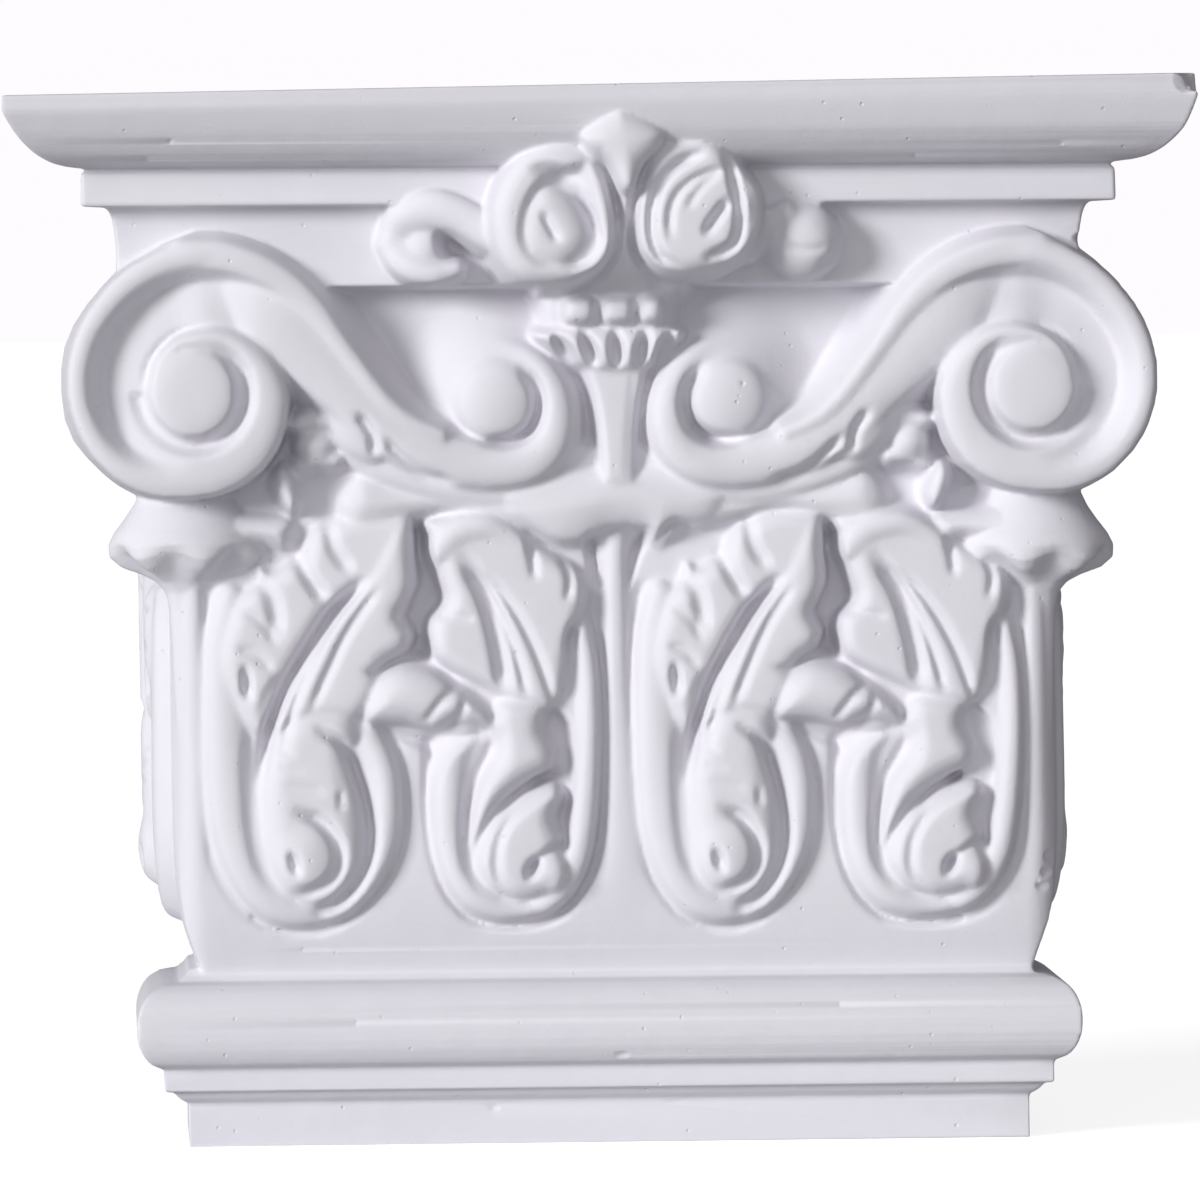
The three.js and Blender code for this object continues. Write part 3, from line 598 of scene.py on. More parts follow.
def frieze_flowers(relief):
    """Two open flowers either side of a finial, and a curl beyond each."""
    relief.ridge([(1.4, 200, 18, 10), (1.8, 206, 25, 7), (2.4, 214, 30, 3.4), (2.8, 224, 35, 3.2),
        (3.0, 231, 40, 5)], fall=4, over_bell=False, steep=1.4)
    relief.pad([(-7.6, 237.6), (-4.6, 240.9), (-0.4, 243.7), (1.4, 245.2), (3.4, 243.9), (8.6, 241.2),
        (12.2, 238.0), (10.6, 234.4), (7, 230.6), (5, 225), (1.6, 225), (-1, 230), (-5.4, 234)], 38, 5.5,
        round_off=7, over_bell=False, steep=5)

    left = (0.6, 0.3)
    relief.pad(moved([(-23, 203.6), (-27.5, 208), (-29.5, 214), (-29.6, 221), (-27.5, 227), (-23, 233),
        (-16.5, 236.8), (-11, 237.4), (-6, 234.6), (-2, 228), (0.4, 218), (0, 211.5), (-4, 206), (-12, 203)],
        *left), 31, 6.5, round_off=5, over_bell=False, steep=6)
    relief.sink(moved([(-7, 232), (-10, 231.5), (-18, 228.4), (-22.5, 222), (-23.5, 213), (-19, 207),
        (-12, 206), (-5.4, 209), (-2.8, 216.5), (-4.4, 226)], *left), 4.5, slope=3.5)
    relief.pad(moved([(-22.5, 208), (-24, 215), (-22, 222), (-17.5, 226.4), (-12.5, 225), (-8, 219.6),
        (-6, 214), (-9, 209), (-15, 206)], *left), 32, 5.2, round_off=6, over_bell=False)
    relief.dent((-14.5 + left[0], 229 + left[1]), (7, 2.4), 2.6, turn=12)
    relief.groove(moved([(-17.4, 219.6), (-15.8, 216.4), (-14, 213.2)], *left), 1.3, 2.4)
    relief.groove(moved([(-9.4, 223.5), (-5.6, 218), (-4.2, 213), (-6.6, 209), (-12, 207)], *left), 1.7, 3.2)

    right = (-0.2, 0.4)
    relief.pad(moved([(15.5, 238), (22, 238), (26.5, 235), (31, 229.6), (34.6, 225), (35.4, 219), (34, 213.5),
        (30, 208.6), (21, 205.4), (11, 206), (6.4, 210), (4.8, 219), (7, 229.5), (11, 235.6)], *right), 31, 6.5,
        round_off=4.5, over_bell=False, steep=6)
    relief.groove(moved([(21, 233.2), (15.2, 230.4), (11, 226), (9, 220), (9, 214), (11, 209.4), (15.5, 206.6)],
        *right), 1.7, 3.6)
    relief.groove(moved([(26, 229.8), (19.4, 227.2), (15, 223.4), (13.4, 219), (13.4, 213.8)], *right), 1.1,
        2.0)
    relief.groove(moved([(26, 229.2), (21, 225.4), (17.4, 220.4)], *right), 1.0, 1.5)
    relief.groove(moved([(26.8, 221.6), (24, 218), (21.8, 214.8)], *right), 1.6, 4.2)
    relief.groove(moved([(26.8, 233), (28.4, 227.5), (29.6, 221.6), (29.8, 216), (28, 211.6), (22, 209)],
        *right), 1.8, 4.0)
    relief.groove(moved([(31, 227), (33, 221), (32, 214)], *right), 1.2, 1.4)
    relief.groove([(-3.6, 234.4), (-0.6, 228), (0.9, 220), (0.4, 211.6), (-3, 206), (-9, 203.6)], 1.6, 5.0)
    relief.groove([(8.8, 232.4), (5.8, 226), (4.6, 218), (5.2, 210.6), (9.4, 206)], 1.4, 4.5)

    curl = [(-51.4, 214, 22, 4), (-48.6, 218.6, 25, 4.8), (-43, 221, 27, 5), (-36, 219.4, 28, 4.6),
        (-29, 214.6, 28.5, 4)]
    relief.dome((-43.6, 213), (8.6, 8.8), 12, 12.5, soften=0.6, steep=8)
    relief.dent((-37.4, 213.4), (5.0, 5.4), 8.0, turn=-40)
    relief.ridge(curl, fall=4, over_bell=False, steep=5)
    relief.ridge([(-51.6, 213, 22, 4), (-48.6, 208.4, 24.5, 3.8), (-43, 206, 25.5, 3.2), (-37, 206.8, 25, 2.4)],
        fall=3.5, over_bell=False, steep=5)
    relief.pad([(36.6, 215), (39.6, 220.6), (45, 222.8), (50.8, 221.4), (54.8, 216.4), (55, 210.4),
        (51.6, 205.8), (46, 204), (40.4, 205.6), (36.8, 209.6)], 18.5, 10, round_off=8, soften=0.5,
        over_bell=False, steep=8)
    relief.ridge([(32, 211, 24, 3), (35.6, 215.6, 27, 3), (41, 219.4, 28, 3.2)], fall=3, over_bell=False,
        steep=5)
    relief.groove([(41, 212.2), (45, 211), (51, 211.4)], 1.0, 1.2)
    relief.groove([(50.4, 223.4), (53.6, 217), (53, 210.6), (49.4, 206.8)], 1.2, 1.6)


# ---------------------------------------------------------------- the front as a whole

def profile_out(z):
    """The overhang of the frieze, band and abacus, where flowers lie over them."""
    rows = [(BELL_TOP, 15.5), (212, 15.4), (219, 16.2), (221.9, 17.2), (222, 23.5), (229.8, 23.5),
        (230.9, 22.5), (231.3, 26.6), (232.9, 31.6), (236, 36), (240.2, 39.4), (249.4, 41.5)]
    return np.interp(z, [r[0] for r in rows], [r[1] for r in rows])


PANEL = 4.5
PANEL_FOOT = (149, 157)
FINIAL_FOOT = 18
FRONT_HALF = 134
FRONT_TOP = 248
BROW = [(-61, 159), (-50, 156.5), (-30, 153.5), (-20, 154.5), (0, 157), (20, 154.5), (30, 153.5), (50, 156.5),
    (61, 159), (66, 152), (62, 146), (40, 149.5), (20, 145), (0, 146), (-20, 145), (-40, 149.5), (-62, 146),
    (-66, 152)]
CORNER_STALK = [(101.5, 44, -2.5, 5), (101.5, 58, -0.8, 4.2), (101.5, 74, 0.8, 3.8), (101.5, 95, 1.6, 3.6),
    (101.5, 134, 2.0, 3.4)]
CORNER_HUSK = [(-76, 148), (-88, 150), (-104, 152.5), (-112, 150), (-119, 142), (-114, 135.5), (-106, 131),
    (-101, 136), (-99.5, 139.5), (-96, 137.5), (-90, 140.5), (-84, 142), (-78, 141)]


def front_relief(cell):
    """Every carving on the front face, from the foot of the bell to the flowers on the abacus."""
    relief = Relief((-FRONT_HALF, FRONT_HALF), (BELL_FOOT - 1, FRONT_TOP), cell)
    panel = ease(*PANEL_FOOT, relief.z)
    relief.out = relief.out * (1 - panel) + PANEL * panel
    pair(relief, LEFT_SPAN, RIGHT_SPAN, 0)
    pair(relief, FAR_LEFT_SPAN, FAR_RIGHT_SPAN, FAR_PAIR)
    relief.pad(BROW, 7.5, 6.0, round_off=8, over_bell=False)
    for side, turn in ((-1, lambda points: points), (1, flipped)):
        scroll(relief, turn)
        volute(relief, side)
        relief.ridge([(side * x, z, crest, half) for x, z, crest, half in CORNER_STALK], fall=2.0)
        relief.pad(turn(CORNER_HUSK), 5.5, 8, round_off=8, over_bell=False)
    middle(relief)

    # Over the frieze only the flowers show: the bare mouldings there are the block's own.
    before = relief.out.copy()
    frieze_flowers(relief)
    relief.out = np.where((relief.z < BELL_TOP) & (np.abs(relief.x) > FINIAL_FOOT), before, relief.out)
    bare = (relief.z > BELL_TOP - 0.2) & (relief.out < profile_out(relief.z) + 0.6)
    relief.soften(EDGE_PASSES)
    relief.out = np.where(bare, profile_out(relief.z) - 2.0, relief.out)
    return relief


# ---------------------------------------------------------------- building the solids

FOOT_LEVELS = [(0.0, 0.0), (10.3, 0.0), (10.9, 1.2), (12.0, 2.6), (13.2, 3.3), (13.4, 5.5), (18.3, 5.5),
    (18.6, 4.6)]
TORUS = [(19.0, 6.2), (20.4, 8.8), (22.8, 10.6), (25.6, 11.6), (28.7, 11.9), (31.8, 11.6), (34.8, 10.5),
    (37.1, 8.6), (38.6, 6.0)]
NECK_LEVELS = [(39.0, 4.0), (39.2, 1.6), (40.0, 1.3), (40.4, 0.2), (41.0, 0.0), (42, -0.8), (43, CORE_SIDE),
    (152, CORE_SIDE), (154.5, 0.8), (201.5, 0.8)]
FRIEZE = [(203.0, 15.5), (207.5, 15.1), (212.0, 15.2), (216.5, 15.8), (219.8, 16.6), (221.7, 17.6)]
BAND_LEVELS = [(222.0, 23.4), (222.2, 23.6), (229.7, 23.6), (230.0, 22.6), (230.9, 22.6), (231.1, 24.4)]
OVOLO = [(231.4, 27.0), (232.4, 30.6), (234.0, 33.6), (236.2, 36.2), (239.0, 38.6), (242.0, 40.3),
    (244.4, 41.4), (245.6, 41.8)]
TOP_LEVELS = [(249.2, 41.9), (249.4, 41.7)]
# How much wider than its overhang the block is at the ends, by height.
TRIM = ((0, 42, 200, 222, 250), (1.1, 1.1, -0.5, -1.2, -1.8))
CURVE_STEP = 0.7


def levels():
    """Every level of the block from its foot to its top: [height, overhang]."""
    rows = list(FOOT_LEVELS)
    for curve, straight in ((TORUS, NECK_LEVELS), (FRIEZE, BAND_LEVELS), (OVOLO, TOP_LEVELS)):
        rows += [tuple(row) for row in through(curve, CURVE_STEP)] + straight
    return rows


def rectangle(verts, out, z):
    """Moves four verts to one level of the block: overhangs on three sides, flat at the back."""
    for vert in verts:
        side = 1 if vert.co.x > 0 else -1
        front = vert.co.y < 0
        y = -(HALF_DEPTH + max(out, CORE_FRONT)) if front else HALF_DEPTH
        half = HALF_WIDTH + out + float(np.interp(z, *TRIM))
        vert.co = Vector((side * half * MM, y * MM, z * MM))


def stack(bm, rows):
    """A block drawn up level by level from its foot."""
    made = bmesh.ops.create_grid(bm, x_segments=1, y_segments=1, size=0.05)
    top = made["verts"][0].link_faces[0]
    rectangle(top.verts, rows[0][1], rows[0][0])
    for z, out in rows[1:]:
        made = bmesh.ops.extrude_face_region(bm, geom=[top])
        verts = [item for item in made["geom"] if isinstance(item, bmesh.types.BMVert)]
        top = next(item for item in made["geom"] if isinstance(item, bmesh.types.BMFace))
        rectangle(verts, out, z)
    return bm


OUTLINE = [(39, 99.8), (41, 99.9), (45, 101.2), (52, 103.7), (60, 105), (77, 105.6), (150, 105.6), (152, 106),
    (153, 110.5), (154.4, 114), (156.4, 117.6), (159.4, 121.4), (163, 125), (167, 128.2), (172, 130.2),
    (178.4, 130.9), (184, 130.8), (189, 130), (194, 127.8), (199, 124.4), (204, 120), (208, 116), (211, 112),
    (214, 104), (217, 96), (248, 94)]
STRAIGHT = 88.0
SHEET_HALF = 131
SHEET_TOP = 247.5

# The upright corners of the bell are rounded over this far, up to where the volutes begin.
EDGE_START = 98.2
EDGE_ROUND = 7.5
EDGE_DROP = 6.0
EDGE_END = (146, 152)


def sheet_of(relief, place, x_range, z_range, back):
    """A grid laid over a relief, pushed into shape by `place` and closed off at the back."""
    bm = bmesh.new()
    columns = int(round((x_range[1] - x_range[0]) / relief.cell))
    rows = int(round((z_range[1] - z_range[0]) / relief.cell))
    bmesh.ops.create_grid(bm, x_segments=columns, y_segments=rows, size=1.0)
    middle = ((x_range[0] + x_range[1]) / 2, (z_range[0] + z_range[1]) / 2)
    reach = ((x_range[1] - x_range[0]) / 2, (z_range[1] - z_range[0]) / 2)
    flat = np.array([vert.co[:2] for vert in bm.verts])
    spots = place(middle[0] + flat[:, 0] * reach[0], middle[1] + flat[:, 1] * reach[1])
    for vert, spot in zip(bm.verts, spots):
        vert.co = Vector(spot) * MM
    rim = [edge for edge in bm.edges if edge.is_boundary]
    made = bmesh.ops.extrude_edge_only(bm, edges=rim)
    verts = [item for item in made["geom"] if isinstance(item, bmesh.types.BMVert)]
    edges = [item for item in made["geom"] if isinstance(item, bmesh.types.BMEdge) and item.is_boundary]
    for vert in verts:
        vert.co = back(vert.co)
    bmesh.ops.holes_fill(bm, edges=edges, sides=0)
    bmesh.ops.recalc_face_normals(bm, faces=bm.faces)
    return bm


def front_sheet(relief):
    """The front's skin, as wide at each height as the outline lets it be."""
    lows = [row[0] for row in OUTLINE]
    reach = [row[1] for row in OUTLINE]

    def place(x, z):
        limit = np.interp(z, lows, reach)
        beyond = np.clip(np.abs(x) - STRAIGHT, 0, None) / (SHEET_HALF - STRAIGHT)
        across = np.where(np.abs(x) > STRAIGHT, STRAIGHT + beyond * (limit - STRAIGHT), np.abs(x))
        across = np.sign(x) * across
        out = relief.at(across, z)
        round_off = np.clip((np.abs(across) - EDGE_START) / EDGE_ROUND, 0, 1)
        out = out - (1 - ease(*EDGE_END, z)) * EDGE_DROP * (1 - np.sqrt(1 - round_off ** 2))
        return np.column_stack([across * ORNAMENT_SCALE + ORNAMENT_SHIFT, -(HALF_DEPTH + out), z])

    def back(co):
        return Vector((co.x, PLATE_BACK * MM, co.z))

    return sheet_of(relief, place, (-SHEET_HALF, SHEET_HALF), (BELL_FOOT, SHEET_TOP), back)


RETURN_SPAN = (-18.5, 18.5)
RETURN_WEAR = {-1: 1.0, 1: 0.55}


def return_relief(cell):
    """One loop and its leaf on a return of the bell."""
    relief = Relief((-40, 24), (BELL_FOOT - 1, 156), cell)
    left_loop(relief, RETURN_SPAN)
    relief.soften(EDGE_PASSES)
    return relief


def return_sheet(relief, side):
    """One return's skin, from the front corner to the back."""
    def place(x, z):
        out = relief.at(x, z)
        out = bell(z) + (out - bell(z)) * RETURN_WEAR[side]
        out = out - EDGE_DROP * (1 - np.sqrt(1 - np.clip((-20.5 - x) / EDGE_ROUND, 0, 1) ** 2))
        limit = HALF_DEPTH + bell(z) - 0.6
        y = np.where(x < 0, x * limit / 28.0, x)
        y = np.clip(y, None, HALF_DEPTH)
        return np.column_stack([side * (HALF_WIDTH + out) + ORNAMENT_SHIFT, y, z])

    def back(co):
        return Vector((side * (HALF_WIDTH - 14) * MM, co.y, co.z))

    return sheet_of(relief, place, (-28, 22), (BELL_FOOT, 155), back)


BUD_PROFILE = [(0, 157), (9.5, 156), (11.2, 152.5), (12.6, 149.5), (14.8, 146.3), (17.2, 143.2), (18.4, 140.6),
    (17.6, 138.2), (14.6, 136), (10.6, 133.8), (7.4, 131.6), (5.4, 129), (4.6, 125), (4.2, 116), (3.7, 100),
    (2.8, 84), (1.4, 70), (0, 62)]
BUD_LIFT = {-1: 2.2, 1: 0.4}
BUD_LIP = 136.5
BUD_POINTS = 7
BUD_X = 100.0
BUD_OUT = 2.8
BUD_FLATTENED = 0.8


def corner(bm, side):
    """The bud that swells out from a corner under the volute, on its stalk, with points round its lip."""
    verts = [bm.verts.new((r * MM, 0, z * MM)) for r, z in BUD_PROFILE]
    edges = [bm.edges.new(pair) for pair in zip(verts[:-1], verts[1:])]
    bmesh.ops.spin(bm, geom=verts + edges, cent=(0, 0, 0), axis=(0, 0, 1), steps=60,
                   angle=2 * math.pi, use_merge=True)
    bmesh.ops.remove_doubles(bm, verts=bm.verts, dist=TINY)
    bmesh.ops.recalc_face_normals(bm, faces=bm.faces)
    for vert in bm.verts:
        z = vert.co.z / MM
        around = math.atan2(vert.co.y, vert.co.x)
        lip = math.exp(-((z - BUD_LIP) / 3.2) ** 2)
        grow = 1 + 0.07 * lip * math.cos(BUD_POINTS * around)
        vert.co.x = side * (vert.co.x * grow + BUD_X * MM) + ORNAMENT_SHIFT * MM
        vert.co.y = vert.co.y * grow * BUD_FLATTENED - (HALF_DEPTH + BUD_OUT) * MM
        vert.co.z += (BUD_LIFT[side] - 1.2 * lip * math.cos(BUD_POINTS * around)) * MM
    bmesh.ops.recalc_face_normals(bm, faces=bm.faces)


# Where the cast has lost or gained a little: its place, its reach and how far the surface is pushed.
FLAWS = [((141, -62, 249), (6.5, 7, 4.2), (-2.2, 1.6, -2.6)), ((136, -64.5, 248), (3.6, 5, 3.0),
    (0, 1.4, -1.2)), ((123, -46, 229.6), (2.6, 4, 2.2), (-1.0, 0.8, 0.6)), ((113, -38, 213), (2.0, 4, 1.8),
    (-0.8, 0.5, 0)), ((105, -27, 67), (2.0, 6, 2.2), (-0.7, 0.4, 0)), ((104, -27, 63.4), (1.8, 6, 1.4),
    (-0.8, 0.4, 0)), ((103, -27, 60), (2.0, 6, 1.3), (-0.6, 0.5, 0)), ((2.5, -33.5, 21.5), (2.6, 4, 1.3),
    (0, 0.9, 0)), ((15.5, -24, 9.3), (3.6, 4, 0.8), (0, 0.35, 0)), ((-27.5, -23, 8.4), (1.8, 4, 1.1),
    (0, 0.5, 0)), ((-72, -27, 46.5), (0.9, 4, 0.8), (0, 0.8, 0)), ((-100, -57, 237), (0.9, 9, 0.8),
    (0, 0.7, 0)), ((-105.5, -54, 233), (0.9, 9, 0.8), (0, 0.7, 0)), ((107, -54, 235.5), (1.0, 9, 0.9),
    (0, 0.7, 0)), ((73, -54, 232.6), (1.0, 9, 0.8), (0, 0.7, 0)), ((33, -41, 179.6), (0.7, 5, 0.7),
    (0, 0.9, 0)), ((-84, -28, 43), (5.5, 5, 1.1), (0, -0.35, 0)), ((-77, -28, 43.6), (3.2, 5, 0.9),
    (0, 0.4, 0)), ((104, -44, 151.5), (3.2, 9, 1.4), (0, 0.6, 0.3)), ((98, -30, 42), (1.6, 6, 0.9),
    (0, 0.6, 0)), ((-60, -33.8, 30), (0.8, 4, 0.7), (0, 0.6, 0)), ((54, -33.8, 33), (0.7, 4, 0.7), (0, 0.6, 0)),
    ((-20, 22, 150), (2.2, 4, 1.8), (0, -0.8, 0)), ((46, 22, 88), (3.0, 4, 2.0), (0, -0.6, 0)), ((-74, 22, 206),
    (1.6, 4, 1.6), (0, -0.9, 0)), ((12, 22, 228), (1.2, 4, 1.2), (0, -0.9, 0))]


def wear(body):
    """Chips, dents and pits, each eased out to nothing round its edge."""
    count = len(body.data.vertices)
    flat = np.empty(count * 3, np.float32)
    body.data.vertices.foreach_get("co", flat)
    places = flat.reshape(count, 3)
    for middle, reach, push in FLAWS:
        near = places - np.array(middle, np.float32) * MM
        span = np.array(reach, np.float32) * MM
        inside = np.all(np.abs(near) < span, axis=1)
        ratio = np.sum((near[inside] / span) ** 2, axis=1)
        share = np.clip(1 - ratio, 0, 1) ** 1.3
        places[inside] += share[:, None] * np.array(push, np.float32) * MM
    places[:, 0] += LEAN * MM * (1 - places[:, 2] / (HEIGHT * MM))
    places[:, 2] += TOP_SLOPE * (places[:, 0] + TOP_PIVOT) * ease(*TOP_BAND, places[:, 2])
    body.data.vertices.foreach_set("co", places.ravel())
    body.data.update()


def new_object(name, bm):
    mesh = bpy.data.meshes.new(name)
    bm.to_mesh(mesh)
    bm.free()
    body = bpy.data.objects.new(name, mesh)
    bpy.context.scene.collection.objects.link(body)
    return body


def joined(bodies, name):
    """One object from several closed shells that overlap."""
    bm = bmesh.new()
    for body in bodies:
        bm.from_mesh(body.data)
        bpy.data.objects.remove(body)
    return new_object(name, bm)


def apply(body, kind, **settings):
    """Puts one modifier on a body and makes it part of the mesh."""
    modifier = body.modifiers.new(kind.title(), kind)
    for key, value in settings.items():
        setattr(modifier, key, value)
    depsgraph = bpy.context.evaluated_depsgraph_get()
    mesh = bpy.data.meshes.new_from_object(body.evaluated_get(depsgraph))
    body.modifiers.clear()
    old = body.data
    body.data = mesh
    bpy.data.meshes.remove(old)
    mesh.name = body.name


# ---------------------------------------------------------------- plaster

def wire(tree, pairs):
    """Joins sockets in pairs."""
    for out, into in pairs:
        tree.links.new(out, into)


def added(tree, kind, **values):
    """A node with its sockets set; an underscore stands for a space in a socket's name."""
    node = tree.nodes.new(kind)
    for name, value in values.items():
        node.inputs[name.replace("_", " ")].default_value = value
    return node


def plaster_material(settings):
    """Matt white plaster: faint clouds, a slow swell, fine grain and pinholes."""
    material = bpy.data.materials.new("cast_plaster")
    material.use_nodes = True
    tree = material.node_tree
    tree.nodes.clear()
    output = added(tree, "ShaderNodeOutputMaterial")
    shader = added(tree, "ShaderNodeBsdfPrincipled", IOR=1.45, Specular_IOR_Level=0.22)
    place = added(tree, "ShaderNodeTexCoord")
    cloud = added(tree, "ShaderNodeTexNoise", Scale=14.0, Detail=5.0)
    ramp = tree.nodes.new("ShaderNodeMix")
    ramp.data_type = "RGBA"
    ramp.inputs["A"].default_value = (*settings.shade, 1)
    ramp.inputs["B"].default_value = (*settings.colour, 1)
    grain = added(tree, "ShaderNodeTexNoise", Scale=900.0, Detail=4.0)
    swell = added(tree, "ShaderNodeTexNoise", Scale=120.0, Detail=3.0)
    pits = added(tree, "ShaderNodeTexVoronoi", Scale=170.0)
    hole = added(tree, "ShaderNodeMapRange", From_Min=0.02, From_Max=0.09)
    coarse = added(tree, "ShaderNodeBump", Strength=0.25, Distance=0.0008)
    fine = added(tree, "ShaderNodeBump", Strength=0.18, Distance=0.0002)
    pinholes = added(tree, "ShaderNodeBump", Strength=0.5, Distance=0.0004)
    gloss = added(tree, "ShaderNodeMapRange", To_Min=0.62, To_Max=0.78)
    wire(tree, [(place.outputs["Object"], texture.inputs["Vector"]) for texture in (cloud, grain, swell, pits)])
    wire(tree, [
        (cloud.outputs["Fac"], ramp.inputs["Factor"]),
        (ramp.outputs["Result"], shader.inputs["Base Color"]),
        (cloud.outputs["Fac"], gloss.inputs["Value"]),
        (gloss.outputs["Result"], shader.inputs["Roughness"]),
        (swell.outputs["Fac"], coarse.inputs["Height"]),
        (grain.outputs["Fac"], fine.inputs["Height"]),
        (pits.outputs["Distance"], hole.inputs["Value"]),
        (hole.outputs["Result"], pinholes.inputs["Height"]),
        (coarse.outputs["Normal"], fine.inputs["Normal"]),
        (fine.outputs["Normal"], pinholes.inputs["Normal"]),
        (pinholes.outputs["Normal"], shader.inputs["Normal"]),
        (shader.outputs["BSDF"], output.inputs["Surface"]),
    ])
    return material


# ---------------------------------------------------------------- settings and operators

FLOOR_GLOW = 0.8
AMBIENT = 0.12
AIM = Vector((0, -0.04, 0.13))
# Name, place, spread in degrees and strength.
SUNS = (("key", (-2.05, -1.7, 0.74), 18, 2.78), ("front", (-0.1, -2.6, 0.9), 60, 0.78))
LENS = 282.5
SENSOR = 36
CLIP_END = 20
VIEW_MIDDLE = Vector((-0.0003, -0.045, 0.1294))
AZIMUTH, ELEVATION, ROLL = (math.radians(angle) for angle in (-3.0, 2.5, -0.38))
FLOOR_HALF = 12.0


def brighter_to_camera(tree, plain, seen, socket):
    """Shows the floor and the backdrop near white without lighting the casting from them."""
    path = added(tree, "ShaderNodeLightPath")
    strength = added(tree, "ShaderNodeMapRange", To_Min=plain, To_Max=seen)
    wire(tree, [(path.outputs["Is Camera Ray"], strength.inputs["Value"]),
                (strength.outputs["Result"], socket)])


class CapitalSettings(bpy.types.PropertyGroup):
    """What a maker would change about the capital."""

    voxel: bpy.props.FloatProperty(
        name="Fineness", description="Size of the grid that the casting is fused on",
        default=0.00055, min=0.0003, max=0.003, unit="LENGTH", precision=5)
    triangles: bpy.props.IntProperty(
        name="Triangles", description="Most triangles in the finished casting", default=190000, min=20000)
    colour: bpy.props.FloatVectorProperty(
        name="Plaster", description="Colour of the plaster", subtype="COLOR",
        default=(0.74, 0.73, 0.775), min=0, max=1)
    shade: bpy.props.FloatVectorProperty(
        name="Plaster shade", description="Colour of its darker clouds", subtype="COLOR",
        default=(0.68, 0.665, 0.72), min=0, max=1)


class StageSettings(bpy.types.PropertyGroup):
    """What a maker would change about the floor, lights and camera."""

    floor: bpy.props.FloatVectorProperty(
        name="Floor", description="Colour of the floor", subtype="COLOR", default=(0.62, 0.62, 0.63),
        min=0, max=1)
    sky: bpy.props.FloatVectorProperty(
        name="Backdrop", description="Colour of the light all round", subtype="COLOR",
        default=(1.0, 0.97, 1.0), min=0, max=1)
    distance: bpy.props.FloatProperty(
        name="Camera distance", description="From the camera to the front of the capital",
        default=2.2, unit="LENGTH")


class CAPITAL_OT_casting(bpy.types.Operator):
    """Cast the capital in one piece"""

    bl_idname = "capital.casting"
    bl_label = "Casting"

    def execute(self, context):
        settings = context.scene.capital
        cell = CELL
        block = bmesh.new()
        stack(block, levels())
        bmesh.ops.recalc_face_normals(block, faces=block.faces)
        shells = [new_object("block", block)]
        shells.append(new_object("front", front_sheet(front_relief(cell))))
        returns = return_relief(cell)
        for side in (-1, 1):
            shells.append(new_object("return", return_sheet(returns, side)))
            corners = bmesh.new()
            corner(corners, side)
            shells.append(new_object("corner", corners))
        piece = joined(shells, "plaster_capital")
        voxel = settings.voxel
        apply(piece, "REMESH", mode="VOXEL", voxel_size=voxel, use_smooth_shade=True)
        if not len(piece.data.polygons):
            raise RuntimeError("the casting came out empty")
        apply(piece, "SMOOTH", factor=0.5, iterations=4)
        wear(piece)
        whole = sum(len(face.vertices) - 2 for face in piece.data.polygons)
        apply(piece, "DECIMATE", ratio=min(1.0, settings.triangles / whole))
        for face in piece.data.polygons:
            face.use_smooth = True
        piece.data.materials.clear()
        piece.data.materials.append(plaster_material(settings))
        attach(piece, "root")
        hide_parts(NODE)
        return {"FINISHED"}


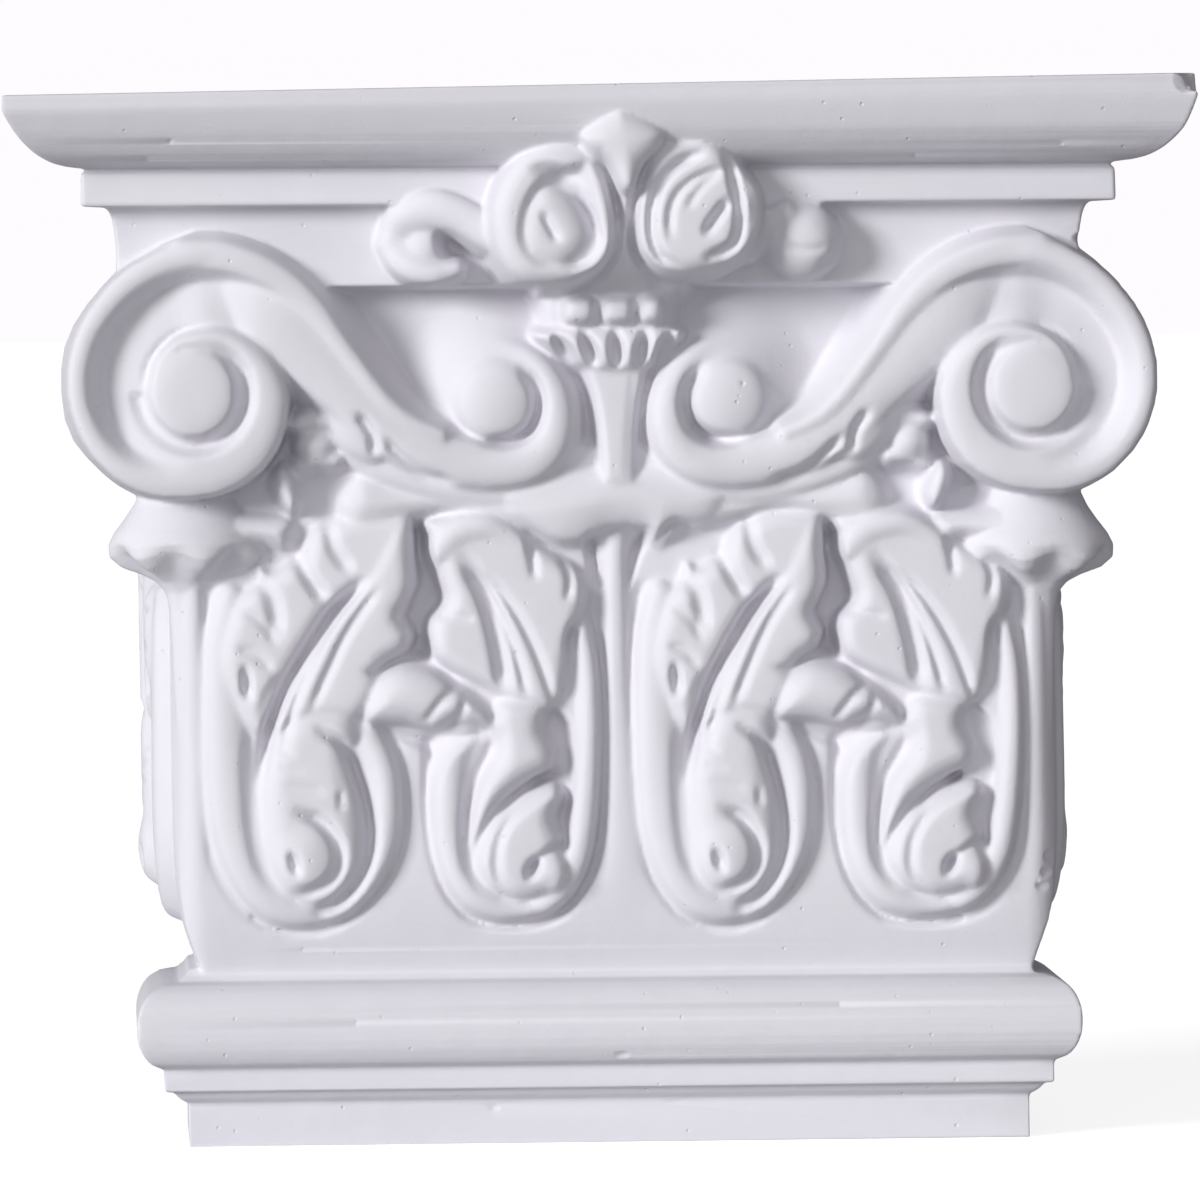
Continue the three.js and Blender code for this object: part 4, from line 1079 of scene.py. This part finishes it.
class CAPITAL_OT_stage(bpy.types.Operator):
    """Lay the floor, hang the lights and set the camera"""

    bl_idname = "capital.stage"
    bl_label = "Stage"

    def execute(self, context):
        settings = context.scene.capital_stage
        bm = bmesh.new()
        bmesh.ops.create_grid(bm, x_segments=1, y_segments=1, size=FLOOR_HALF)
        floor = new_object("floor", bm)
        paint = bpy.data.materials.new("floor_paint")
        paint.use_nodes = True
        tree = paint.node_tree
        shader = tree.nodes["Principled BSDF"]
        shader.inputs["Base Color"].default_value = (*settings.floor, 1)
        shader.inputs["Roughness"].default_value = 0.9
        shader.inputs["Emission Color"].default_value = (1, 1, 1, 1)
        brighter_to_camera(tree, 0.0, FLOOR_GLOW, shader.inputs["Emission Strength"])
        floor.data.materials.append(paint)

        world = bpy.data.worlds.new("studio")
        world.use_nodes = True
        tree = world.node_tree
        backdrop = tree.nodes["Background"]
        backdrop.inputs["Color"].default_value = (*settings.sky, 1)
        brighter_to_camera(tree, AMBIENT, 1.0, backdrop.inputs["Strength"])
        context.scene.world = world
        context.scene.view_settings.view_transform = "Standard"
        for name, spot, spread, power in SUNS:
            light = bpy.data.lights.new(name, "SUN")
            light.energy = power
            light.angle = math.radians(spread)
            lamp = bpy.data.objects.new(name, light)
            lamp.location = spot
            lamp.rotation_euler = (AIM - Vector(spot)).to_track_quat("-Z", "Y").to_euler()
            context.scene.collection.objects.link(lamp)

        camera = bpy.data.cameras.new("camera")
        camera.lens = LENS
        camera.sensor_width = SENSOR
        camera.clip_end = CLIP_END
        eye = bpy.data.objects.new("camera", camera)
        level = math.cos(ELEVATION)
        away = Vector((math.sin(AZIMUTH) * level, -math.cos(AZIMUTH) * level, math.sin(ELEVATION)))
        eye.location = VIEW_MIDDLE + away * settings.distance
        eye.rotation_euler = (-away).to_track_quat("-Z", "Y").to_euler()
        eye.rotation_euler.rotate_axis("Z", ROLL)
        context.scene.collection.objects.link(eye)
        context.scene.camera = eye
        return {"FINISHED"}


class CAPITAL_PT_panel(bpy.types.Panel):
    """Lists the capital's and the stage's settings, with the buttons that cast and stage it"""

    bl_label = "Plaster Capital"
    bl_idname = "CAPITAL_PT_panel"
    bl_space_type = "VIEW_3D"
    bl_region_type = "UI"
    bl_category = "Capital"

    def draw(self, context):
        column = self.layout.column()
        for settings in (context.scene.capital, context.scene.capital_stage):
            for name in settings.__annotations__:
                column.prop(settings, name)
        for operator in (CAPITAL_OT_casting, CAPITAL_OT_stage):
            column.operator(operator.bl_idname)


CLASSES = (CapitalSettings, StageSettings, CAPITAL_OT_casting, CAPITAL_OT_stage, CAPITAL_PT_panel)


def register():
    for item in CLASSES:
        bpy.utils.register_class(item)
    bpy.types.Scene.capital = bpy.props.PointerProperty(type=CapitalSettings)
    bpy.types.Scene.capital_stage = bpy.props.PointerProperty(type=StageSettings)


def unregister():
    del bpy.types.Scene.capital_stage
    del bpy.types.Scene.capital
    for item in reversed(CLASSES):
        bpy.utils.unregister_class(item)


def main():
    register()
    bpy.ops.capital.casting()
    bpy.ops.capital.stage()


if __name__ == "__main__":
    main()
